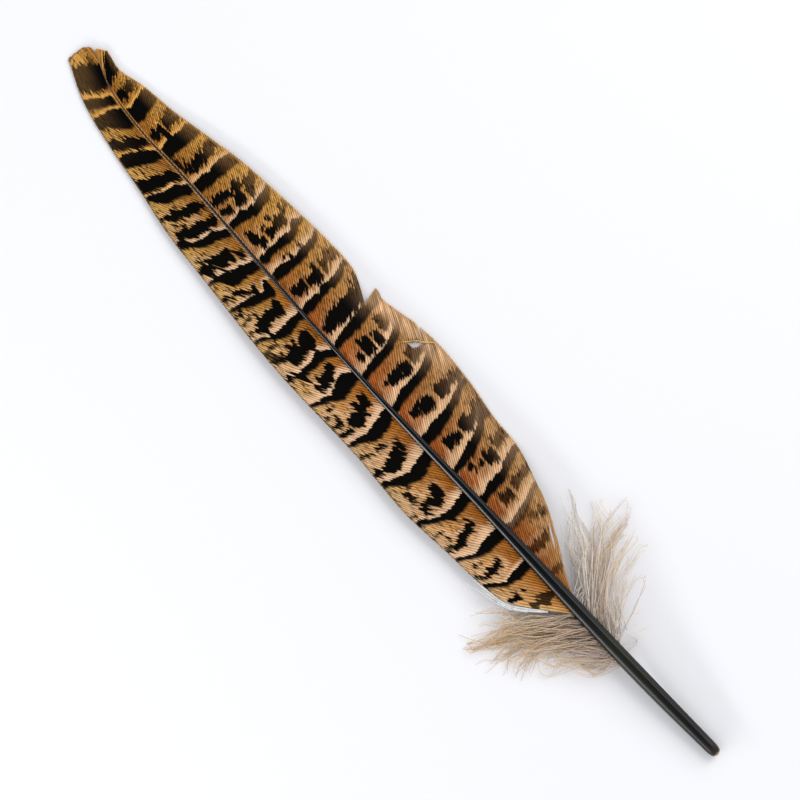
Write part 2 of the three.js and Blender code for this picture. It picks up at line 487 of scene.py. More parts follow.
def torn_margin(along, out):
    """The right vane's margin: past the tear it starts further in, along the first whole barb."""
    is_past = along > TEAR_AT + TEAR_LEAN * (out - TEAR_OUT)
    return np.where(is_past & (along < WHOLE_AGAIN), past_tear(along), right_margin(along))


# %% Each vane's own numbers
# The slant is how far a barb runs along the shaft for each millimetre out, in its middle, and the
# root and tip slants are added to it at either end. The sag is a place along and out, and a depth.
VANES = {
    "left_vane": dict(
        side=-1, start=48.6, bend=1.5, margin=left_margin, sag=(0, 0, 0),
        worn_margin=lambda along, out: left_margin(along),
        slant=profile([
            (48.6, 1.05), (56, 1.2), (66, 1.28), (120, 1.4), (160, 1.6), (195, 2.0), (215, 2.7),
            (229, 3.2),
        ]),
        root_slant=0.1, tip_slant=1.3,
        end=profile([(0, 229.4), (0.3, 230.6), (1, 229.6)]),
        margin_height=profile([(50.2, 4.3), (73, 2.8), (120, 2.6), (150, 2.2), (195, 0.9), (220, 0.3)]),
    ),
    "right_vane": dict(
        side=1, start=52.1, bend=1.7, margin=right_margin, worn_margin=torn_margin,
        sag=(123.2, 15.4, 1.2),
        slant=profile([(50, 1.5), (80, 1.3), (130, 1.3), (160, 1.6), (195, 2.0), (215, 2.7), (229, 3.2)]),
        root_slant=0.6, tip_slant=1.3,
        end=profile([(0, 229.4), (1, 227.9)]),
        margin_height=profile([
            (52.1, 4.3), (70, 3.2), (104, -0.8), (140, -0.8), (158, 0.8), (190, 1.0), (220, 0.3),
        ]),
    ),
}


# %% The length and height of the barbs
CAD_THICKNESS = 0.6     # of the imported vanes, which also keep a gap to the shaft
CAD_GAP = 0.3
ROOT_RISE = 0.25        # height of a vane's root over the shaft's centre, as a share of its radius
SAG_SPREAD = 14         # how wide the sagging spot is, in square millimetres


def barb_path(vane, root, share, width):
    """How far along and out a barb is, by share of the way to an unworn margin."""
    out = share * width
    bent = vane["root_slant"] * (1 - (1 - share) ** 4) / 4 + vane["tip_slant"] * share**6 / 6
    return root + vane["slant"](root) * out + bent * width, out


def barb_width(vane, root):
    """How far out each barb would reach, from its root's place on the shaft."""
    reach = np.linspace(0.2, 30, 600)[:, None]
    beyond = reach > vane["margin"](barb_path(vane, root, 1.0, reach)[0])
    return reach[np.argmax(beyond, axis=0), 0]


def worn_share(vane, root, width):
    """The share of each barb that is left, once the margin, the tear and the tip have cut it."""
    share = np.linspace(0, 1, 500)[:, None]
    along, out = barb_path(vane, root, share, width)
    margin = vane["worn_margin"](along, out)
    gone = (out > margin) | (along > vane["end"](out / margin))
    return np.where(gone.any(axis=0), share[np.argmax(gone, axis=0), 0], 1.0)


def vane_top(vane, along, out):
    """The height of a vane's upper side, a little lower where a broken spot sags."""
    sag_along, sag_out, sag = vane["sag"]
    sagging = sag * np.exp(-((along - sag_along) ** 2 + (out - sag_out) ** 2) / SAG_SPREAD)
    radius = SHAFT_RADIUS(along)
    root_height = along_line(line[:, 2], along) + ROOT_RISE * radius + CAD_THICKNESS / 2
    root_out = radius + CAD_GAP
    share = np.clip((out - root_out) / np.maximum(vane["margin"](along) - root_out, 0.5), 0, 1)
    drop = (root_height - vane["margin_height"](along)) * share ** vane["bend"]
    return np.maximum(root_height - drop - sagging, CAD_THICKNESS)


for name, vane in VANES.items():
    vane["count"] = int((SHAFT_LENGTH - vane["start"]) / BARB_SPACING)
    vane["roots"] = vane["start"] + BARB_SPACING * np.arange(vane["count"] + 1)
    vane["widths"] = barb_width(vane, vane["roots"])
    vane["ends"] = worn_share(vane, vane["roots"], vane["widths"])
    print(name, "has", vane["count"], "barbs, the widest reaching", vane["widths"].max().round(1), "mm")

# %% [markdown]
# ## Shaping a vane
#
# The grid starts flat, one unit wide for each barb. Faces are taken out of it where the right vane
# has a hole, and seams are opened where barbs have come unhooked. Then it is extruded into a thin
# closed sheet, and one function bends it into place. Ridges stand proud of the grooves, and at the
# margin each barb ends in its own tip.

# %% Where a point of the flat grid lies on the vane
ROWS = 52
TUCKED = 0.7        # where a barb leaves the shaft, as a share of the shaft's radius


def on_vane(vane, column, row, shorter=0.0):
    """How far along and out a point of the flat grid lies. Its column counts barbs."""
    root = vane["start"] + BARB_SPACING * column
    width = np.interp(root, vane["roots"], vane["widths"])
    end = np.interp(root, vane["roots"], vane["ends"])
    end = np.maximum(end - shorter / np.maximum(width, 1), 0.03)
    along, out = barb_path(vane, root, end * row / ROWS, width)
    inner = TUCKED * SHAFT_RADIUS(along)
    return along, inner + out * (1 - inner / np.maximum(width, 2 * inner))


def nearest_spot(vane, along, out):
    """The barb and the row of the grid that lie nearest to a place on the vane."""
    column = np.arange(vane["count"])[:, None]
    at, away = on_vane(vane, column, np.arange(ROWS + 1))
    nearest = np.argmin((at - along) ** 2 + (away - out) ** 2)
    return divmod(int(nearest), ROWS + 1)


def opening(vane, inner, outer, gape):
    """A seam that has opened between two places, both (along, out), gaping by a share of a barb."""
    barb, first = nearest_spot(vane, *inner)
    _, last = nearest_spot(vane, *outer)
    return barb, first, last, gape


def unhooked_margins(vane, chance):
    """Seams where the margin has come unhooked for some way, as (barb, from row, to row, width)."""
    seams = []
    for barb in range(4, vane["count"] - 2):
        if chance.random() < 0.4:
            seams.append((barb, ROWS - int(chance.integers(1, 4)), ROWS, 0.03))
        elif chance.random() < 0.05:
            seams.append((barb, ROWS - int(chance.integers(5, 12)), ROWS, 0.08))
    return seams


# %% Cut the flat sheet
def inside_outline(outline, along, out):
    """True where a place lies inside an outline of (along, out) corners."""
    inside = False
    for (a, b), (c, d) in zip(outline, outline[1:] + outline[:1]):
        if (b > out) != (d > out) and along < a + (c - a) * (out - b) / (d - b):
            inside = not inside
    return inside


def cut_sheet(vane, seams, holes):
    """A flat sheet with four columns of faces for each barb, open at the holes and seams."""
    bm = bmesh.new()
    bmesh.ops.create_grid(bm, x_segments=4 * vane["count"], y_segments=ROWS, size=0.5)
    bmesh.ops.translate(bm, verts=bm.verts, vec=(0.5, 0.5, 0))
    bmesh.ops.scale(bm, verts=bm.verts, vec=(vane["count"], ROWS, 1))
    lost = []
    for outline in holes:
        for face in bm.faces:
            middle = face.calc_center_median()
            along, out = on_vane(vane, middle.x, middle.y)
            if inside_outline(outline, along, out):
                lost.append(face)
    bmesh.ops.delete(bm, geom=lost, context="FACES")

    open_rows = {}
    for barb, first, last, _ in seams:
        open_rows.setdefault(barb, set()).update(range(first, last))
    cut = []
    for edge in bm.edges:
        here, there = edge.verts
        barb = round(here.co.x)
        lies_in_groove = abs(here.co.x - barb) < 0.1 and abs(there.co.x - barb) < 0.1
        if lies_in_groove and math.floor(min(here.co.y, there.co.y) + 0.1) in open_rows.get(barb, ()):
            cut.append(edge)
    bmesh.ops.split_edges(bm, edges=cut)
    return bm


def mark_seam_sides(bm):
    """Notes for each vertex on a seam which side its own barb is on: -1, 1, or 0 off the seams."""
    seam_side = bm.verts.layers.float.new("seam_side")
    for vertex in bm.verts:
        if abs(vertex.co.x - round(vertex.co.x)) < 0.1 and len(vertex.link_faces) < 4:
            middles = [face.calc_center_median().x - vertex.co.x for face in vertex.link_faces]
            if min(middles) > 0 or max(middles) < 0:
                vertex[seam_side] = math.copysign(1.0, middles[0])


# %% Close the sheet and map it
RIM_STRIP = 0.0006      # width on the map of the strip of a rim's faces along a barb
RIM_STRIP_UP = 0.004    # and of the ones across the barbs' ends


def map_sheet(bm, count):
    """Maps the upper side on one half and the underside on the other. The rim between them gets
    narrow strips just outside the edges that it hangs from."""
    layer = bm.loops.layers.uv.new("OFBake")
    seam_side = bm.verts.layers.float["seam_side"]

    def spot(vertex):
        across = 0.005 + 0.99 * vertex.co.x / count + 1.5 * RIM_STRIP * vertex[seam_side]
        return across, 0.01 + 0.48 * vertex.co.y / ROWS + (0.5 if vertex.co.z < -0.5 else 0)

    rims = []
    for face in bm.faces:
        heights = [vertex.co.z for vertex in face.verts]
        if max(heights) - min(heights) > 0.5:
            rims.append(face)
        else:
            for loop in face.loops:
                loop[layer].uv = spot(loop.vert)
    for face in rims:
        upper = next(e for e in face.edges if min(vertex.co.z for vertex in e.verts) > -0.5)
        sheet = next(other for other in upper.link_faces if other is not face)
        away = (upper.verts[0].co + upper.verts[1].co) / 2 - sheet.calc_center_median()
        sideways = abs(upper.verts[0].co.x - upper.verts[1].co.x) < 0.01
        step_across = math.copysign(RIM_STRIP, away.x) if sideways else 0
        step_up = 0 if sideways else math.copysign(RIM_STRIP_UP, away.y)
        for loop in face.loops:
            across, height = spot(loop.vert)
            if loop.vert.co.z < -0.5:
                across = across + step_across
                height = height - 0.5 + step_up
            loop[layer].uv = (across, height)


def closed_sheet(name, bm, count):
    """Extrudes the sheet to a thin closed shell, mapped, still flat."""
    underside = bm.verts.layers.float.new("underside")
    made = bmesh.ops.extrude_face_region(bm, geom=bm.faces[:], use_keep_orig=True)
    for item in made["geom"]:
        if isinstance(item, bmesh.types.BMVert):
            item[underside] = 1.0
            item.co.z = -1.0
    bmesh.ops.recalc_face_normals(bm, faces=bm.faces)
    map_sheet(bm, count)
    return as_mesh(name, bm)


# %% Bend the sheet
RIDGE = 0.16            # height of a barb's ridge over its groove
FREE_TIP = 0.12         # how much further a barb's tip reaches on its ridge
BELOW_SOLID = 0.12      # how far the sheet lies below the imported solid's upper side
ROOT_SINKS = 0.3        # how far it drops below the shaft's shoulder, beside it


def read_attribute(mesh, name):
    values = np.empty(len(mesh.vertices), dtype=np.float32)
    mesh.attributes[name].data.foreach_get("value", values)
    return values


def barb_noise(chance, count, wave, size):
    """A wavering number for each barb and row, with waves a few rows long."""
    coarse = chance.normal(0, size, (count + 1, ROWS // wave + 3))
    at = np.arange(ROWS + 1) / wave
    lower = at.astype(int)
    share = at - lower
    return coarse[:, lower] * (1 - share) + coarse[:, lower + 1] * share


def bend_sheet(mesh, vane, chance, seams):
    """Moves the flat sheet's vertices onto the vane, and returns where each one is."""
    flat = vertices_of(mesh)
    column, row = flat[:, 0], flat[:, 1]
    rows = np.round(row).astype(int)
    seam_side = read_attribute(mesh, "seam_side")
    below = read_attribute(mesh, "underside") > 0.5
    numbered = np.clip(np.floor(column + 0.1 * seam_side).astype(int), 0, vane["count"])
    ridge = np.sin(math.pi * (column - np.floor(column)))

    spread = column.copy()
    for barb, first, last, width in seams:
        opened = np.clip((row - first) / (last - first), 0, 1)
        swell = opened if last == ROWS else np.sin(math.pi * opened) ** 0.8
        side = np.where(np.abs(column - barb) < 0.1, seam_side, np.sign(column - barb))
        reach = 0.6 if width < 0.2 else 3.5      # a wide gap pushes its neighbours aside too
        spread = spread + side * swell * width * np.exp(-np.abs(column - barb) / reach)

    root = column * BARB_SPACING + vane["start"]
    tip_wear = np.clip((root - 205) / 10, 0, 1)
    frayed = np.abs(chance.normal(0, 0.06, vane["count"] + 1))[numbered]
    shorter = (frayed * (1 + 2 * tip_wear) + FREE_TIP * (1 - ridge)) / (1 + vane["slant"](root))
    along, out = on_vane(vane, spread, row, shorter * (row / ROWS) ** 2)

    waver = barb_noise(chance, vane["count"], 8, 0.05)[numbered, rows]
    relief = RIDGE * (ridge - 0.6) + waver * (row / ROWS)
    beside_shaft = 1 - smooth_step(out - SHAFT_RADIUS(along), 0, 2.5)
    top = vane_top(vane, along, out) - BELOW_SOLID - ROOT_SINKS * beside_shaft + relief
    thickness = SHEET_THICKNESS * np.where(row > ROWS - 0.5, 0.35, 1.0)
    height = np.where(below, top - thickness, top)
    set_vertices(mesh, place(along, vane["side"] * out, np.maximum(height, 0.03)))
    return dict(rows=rows, ridge=ridge, along=along, out=out, numbered=numbered)


# %% [markdown]
# ## The markings
#
# A hen's tail feather is barred. Each bar is solid black with a cream band on its tip side, then
# comes a broken blotch, and then rust or ochre up to the next bar. No two are alike, so each is listed
# one by one: a mark is a list of stations, each with its place out from the shaft and where the
# mark begins and ends along it. Every point of the sheet then learns how deep inside a mark it lies.
# Pigment changes from barb to barb, so each barb reads the marks a little early or late, which
# gives the toothed edges.

# %% Marks on the left vane
# A mark is its strength, how wide the cream band beyond it is, and its stations (out, from, to).
def bar(band, *stations, strength=1):
    return strength, band, list(stations)


def blotch(*stations, strength=1):
    return strength, 0, list(stations)


def speck(along, out, radius=0.45):
    reach = 0.6 * radius
    return blotch((out - radius, along - reach, along), (out, along - radius, along + radius),
                  (out + radius, along, along + reach))


LEFT_MARKS = [
    blotch((1, 55.5, 57.6), (5, 55.3, 57.7), (7.5, 56.5, 58), strength=0.92),
    blotch((8.2, 60.8, 62), (9.6, 60.3, 62.3), (10.8, 60.9, 62)),
    bar(0.8, (0, 64.6, 67), (5, 64.2, 66.8), (7.5, 64.8, 66.3), (8.5, 64.9, 66.2), (12.6, 67.8, 69.2)),
    blotch((5.8, 70.3, 71.5), (7.2, 70, 71.8)),
    blotch((7.5, 69.4, 71.2), (8.6, 69.2, 71.7), (9.8, 69.6, 71.3)),
    blotch((10.2, 69.5, 70.6), (11.9, 70.2, 70.9)),
    bar(2.6, (0, 74, 77.5), (5, 74, 77), (7.5, 74.2, 76.5), (9, 74.7, 75.9), (11, 76, 77.1),
             (13.3, 77.5, 78.6)),
    blotch((4.6, 81.2, 82.6), (5.5, 80.9, 83.1), (8, 79.9, 82.2), (10, 79.3, 81.4), (11.8, 79.2, 80.4)),
    blotch((12.5, 80, 80.5), (13.6, 81, 81.6)),
    bar(2.0, (0, 86.2, 89.3), (3, 86, 88.9), (5, 85.5, 88.4), (7, 85.4, 88), (8.5, 86.7, 88.5),
             (10, 87.5, 89), (12, 88.7, 90), (13.8, 90, 91)),
    blotch((4.6, 91.8, 94.6), (5.8, 91.2, 95.5), (6.8, 91, 95)),
    blotch((6.8, 90.6, 93), (8, 90.4, 94.5), (9, 90.6, 93.4), (11.3, 91, 92.3)),
    blotch((12, 90, 90.7), (13.8, 90.6, 91.3)),
    blotch((9.6, 93.4, 94), (11, 94.2, 95), (11.9, 95.2, 95.8)),
    blotch((9.8, 95.6, 96.2), (11.4, 96.4, 97.2)),
    blotch((10.6, 97.6, 98.2), (11.9, 98.4, 99.1)),
    bar(2.8, (0, 100, 103), (3, 99, 102.3), (5, 98, 102), (7, 98.3, 101.5), (8.5, 99, 102),
             (10, 99.6, 102.5), (11.5, 101.2, 103.2), (13.3, 102.5, 104.3)),
    blotch((3.8, 105.8, 109.3), (4.8, 105.5, 109.5)),
    blotch((5.1, 104.8, 108.5), (6.2, 104.8, 108.2), (8, 103.6, 107.5), (10, 103.9, 106.9),
           (10.6, 104.7, 106.3), (13.3, 106, 107.3)),
    blotch((7, 110, 110.8), (9, 110.2, 111)),
    blotch((10.5, 110.5, 111.3), (13, 111.4, 112)),
    bar(2.4, (0, 114.5, 116.9), (3, 112.5, 116.3), (4.5, 112.2, 116), (6, 112, 115.5), (8, 112.5, 115),
             (10, 114, 115.8), (12, 114.7, 116), (13.3, 115.5, 116.3)),
    blotch((2.4, 120.2, 122.8), (3.2, 119.8, 123.5), (4, 119.6, 123), (4.5, 118.2, 121), (5, 119, 123),
           (5.9, 119.2, 122.6)),
    blotch((6, 117.8, 120.8), (7.5, 116.7, 121.6), (9.4, 117.8, 120.6)),
    blotch((10.2, 117.5, 118.8), (12.5, 118.3, 119.3)),
    blotch((10.5, 120.3, 121.4), (13, 121.2, 122)),
    bar(2.2, (0, 126.2, 128.7), (0.8, 126, 128.5), (3, 125.5, 130), (5, 125, 129.3), (6.5, 124.7, 128.5),
             (8, 125.5, 127.8), (10, 127, 128.5), (13.5, 128.5, 129.5)),
    blotch((3.3, 131.4, 134), (4.6, 131, 134.3), (5, 130, 133), (6.5, 129.9, 132.6), (7.8, 130, 133)),
    blotch((8, 129.5, 132), (9.5, 129.7, 131.6)),
    blotch((9.7, 133, 136.8), (10.7, 133.6, 137), (11.2, 136, 137.5), (13.5, 137.4, 138.5)),
    bar(1.8, (0, 134, 136), (1, 133.8, 136), (3.5, 135, 138), (6, 135, 137), (8.5, 135, 137),
             (10.5, 135.6, 136.8), (13, 137, 137.8)),
    blotch((2.2, 139.6, 143.4), (2.8, 139, 143.8), (4, 138.8, 143.3), (6, 138.6, 142.3),
           (8, 138.6, 142.1), (9.7, 138.9, 141.8), (10.3, 140.9, 141.9), (13.3, 142.6, 143.4)),
    blotch((10.2, 142.6, 143.2), (12, 143.2, 143.8), strength=0.9),
    blotch((12.4, 143.8, 144.6), (13.3, 145.2, 146.3), strength=0.9),
    blotch((9.7, 145.3, 145.9), (12, 145.5, 146), strength=0.9),
    bar(1.9, (0, 145.7, 148), (2.4, 145.9, 148), (4, 145.5, 148), (5.5, 145, 147.7), (7.3, 145.5, 147.7),
             (8.5, 146.2, 147.9), (10, 147.1, 148.2), (12.5, 148.6, 149.6)),
    blotch((8.9, 148, 149.4), (9.3, 148.4, 150.9), (9.8, 149.8, 151.6)),
    blotch((2.5, 152, 153), (3.2, 149.7, 153.8), (4.5, 149.7, 153.3), (5.7, 150.5, 153),
           (6.8, 150.3, 152.9), (8, 149.5, 153.2), (9, 150.6, 153), (10, 150, 152.1),
           (11.5, 150.6, 151.5), (13, 151, 151.6)),
    bar(0.7, (1.5, 155.5, 159), (1.9, 154.7, 159.2), (2.6, 154.4, 158.9), (3.5, 155, 157.1),
             (5, 155.3, 157.6), (6.5, 155.8, 158), (8, 156, 158.5), (9.5, 157, 158.6),
             (12.5, 158.3, 159.2)),
    blotch((4.7, 157.6, 160), (5.1, 157.8, 160)),
    blotch((5.2, 158, 159.2), (7, 159, 160.6), (9.8, 161.4, 162.4)),
    blotch((10.3, 160.2, 161.3), (12, 161.5, 162.2)),
    blotch((8.5, 154.2, 154.8), (12.8, 154.6, 155), strength=0.9),
    bar(1.7, (0, 161.6, 164.2), (2, 161.8, 164.8), (4, 162.3, 165.6), (5.5, 162.4, 165.8),
             (7, 162.4, 166.4), (8.5, 162.9, 167), (9.2, 164.2, 167.1), (10.5, 166, 167.3),
             (12, 166.7, 167.6)),
    blotch((1.5, 166.3, 168.4), (2, 166.2, 169.1), (2.7, 167.5, 169.3)),
    blotch((3.8, 167.5, 171.6), (4.3, 167, 171), (5, 167.9, 171.2), (6, 167.4, 171.4),
           (7.4, 167.4, 171.5), (8.5, 168.8, 171.5), (10, 168.9, 171.5), (11.3, 169.4, 171.8)),
    blotch((9.7, 166.4, 167.6), (10.6, 167.8, 169.2), (12, 170, 171.6)),
    bar(1.3, (0, 172.3, 174.4), (2, 172.9, 175), (3.5, 173.6, 176.5), (4.5, 174.1, 176.5),
             (6, 173.9, 176.5), (7.5, 174.8, 176.8), (9, 175.9, 177.4), (10, 176.7, 179.1),
             (11, 177.3, 179.8), (12, 178, 179.8)),
    blotch((0.9, 177.6, 179.8), (2, 176.8, 179.7), (3.5, 177.3, 179.8), (5, 177.9, 180.3),
           (6, 178.5, 180.6), (7.5, 177.7, 181), (8.5, 178.2, 181.7), (9.5, 179.1, 181.8),
           (10.8, 180, 182.1)),
    blotch((0.9, 182, 183), (2, 182.3, 184.4), (3.5, 182.7, 185.2), (5, 183.3, 185.5),
           (6.5, 183.9, 186.1), (8, 184.8, 186.7), (9.5, 185.8, 187), (11.3, 186.7, 187.3)),
    bar(1.2, (0.5, 186.8, 189.2), (0.8, 186.5, 189.2), (2, 186.4, 190), (3, 187.3, 190.9),
             (4.5, 187.9, 191.2), (6, 188.3, 191.4), (7.5, 188.9, 192.3), (9, 190.3, 193.2),
             (10.3, 192.1, 193.5)),
    blotch((0.8, 190.9, 193.2), (1.4, 190.8, 194), (2, 191.2, 194.8), (3.3, 192.3, 194.4),
           (4.5, 192.7, 195.9), (6, 192.7, 196.4), (7.5, 193.3, 197), (9, 194.4, 198.5), (10, 195, 198)),
    bar(1.2, (0.5, 197.7, 200), (2, 198, 201.8), (4, 198.9, 202.9), (5.5, 199.7, 204), (7, 200.9, 204.6),
             (8.6, 201.8, 204.4)),
    blotch((0.6, 202.6, 204.2), (2, 202.7, 205.5), (4, 203.9, 207), (5.5, 205, 207.7),
           (6.5, 205.6, 208.5), (8, 206.6, 208.8)),
    bar(0.9, (0, 208, 213.4), (1.5, 208.2, 214.1), (3, 209.1, 214.8), (4.5, 210.5, 214.8),
             (6, 211.7, 215), (8, 212.5, 215)),
    bar(0.9, (0.8, 214.8, 217.2), (1.1, 215, 217.6), (2.5, 215.6, 217.9), (4, 216, 218.5),
             (5.5, 216.7, 219.1), (8, 217.3, 219.6)),
    blotch((0, 219.7, 225.5), (2.4, 219.7, 226.2), (4.8, 220.7, 226.8), (8, 222, 226.7)),
    blotch((1.5, 226, 227), (2.4, 226.8, 228.6), strength=0.8),
    speck(61.2, 6.3), speck(74, 11), speck(71.3, 12.5), speck(74, 12.8), speck(83, 11.3),
    speck(85.6, 11.8), speck(81.7, 12.6), speck(92.8, 13.3), speck(122.8, 11), speck(124, 12.7),
    speck(125.5, 11), speck(143.7, 6.4), speck(143.1, 8.2), speck(142.8, 7.2), speck(183, 5.6),
    speck(184, 7), speck(182.5, 8), speck(183.4, 9.3), speck(184.6, 8.3), speck(173.2, 10.9),
    speck(156.8, 11.6, 0.6),
]

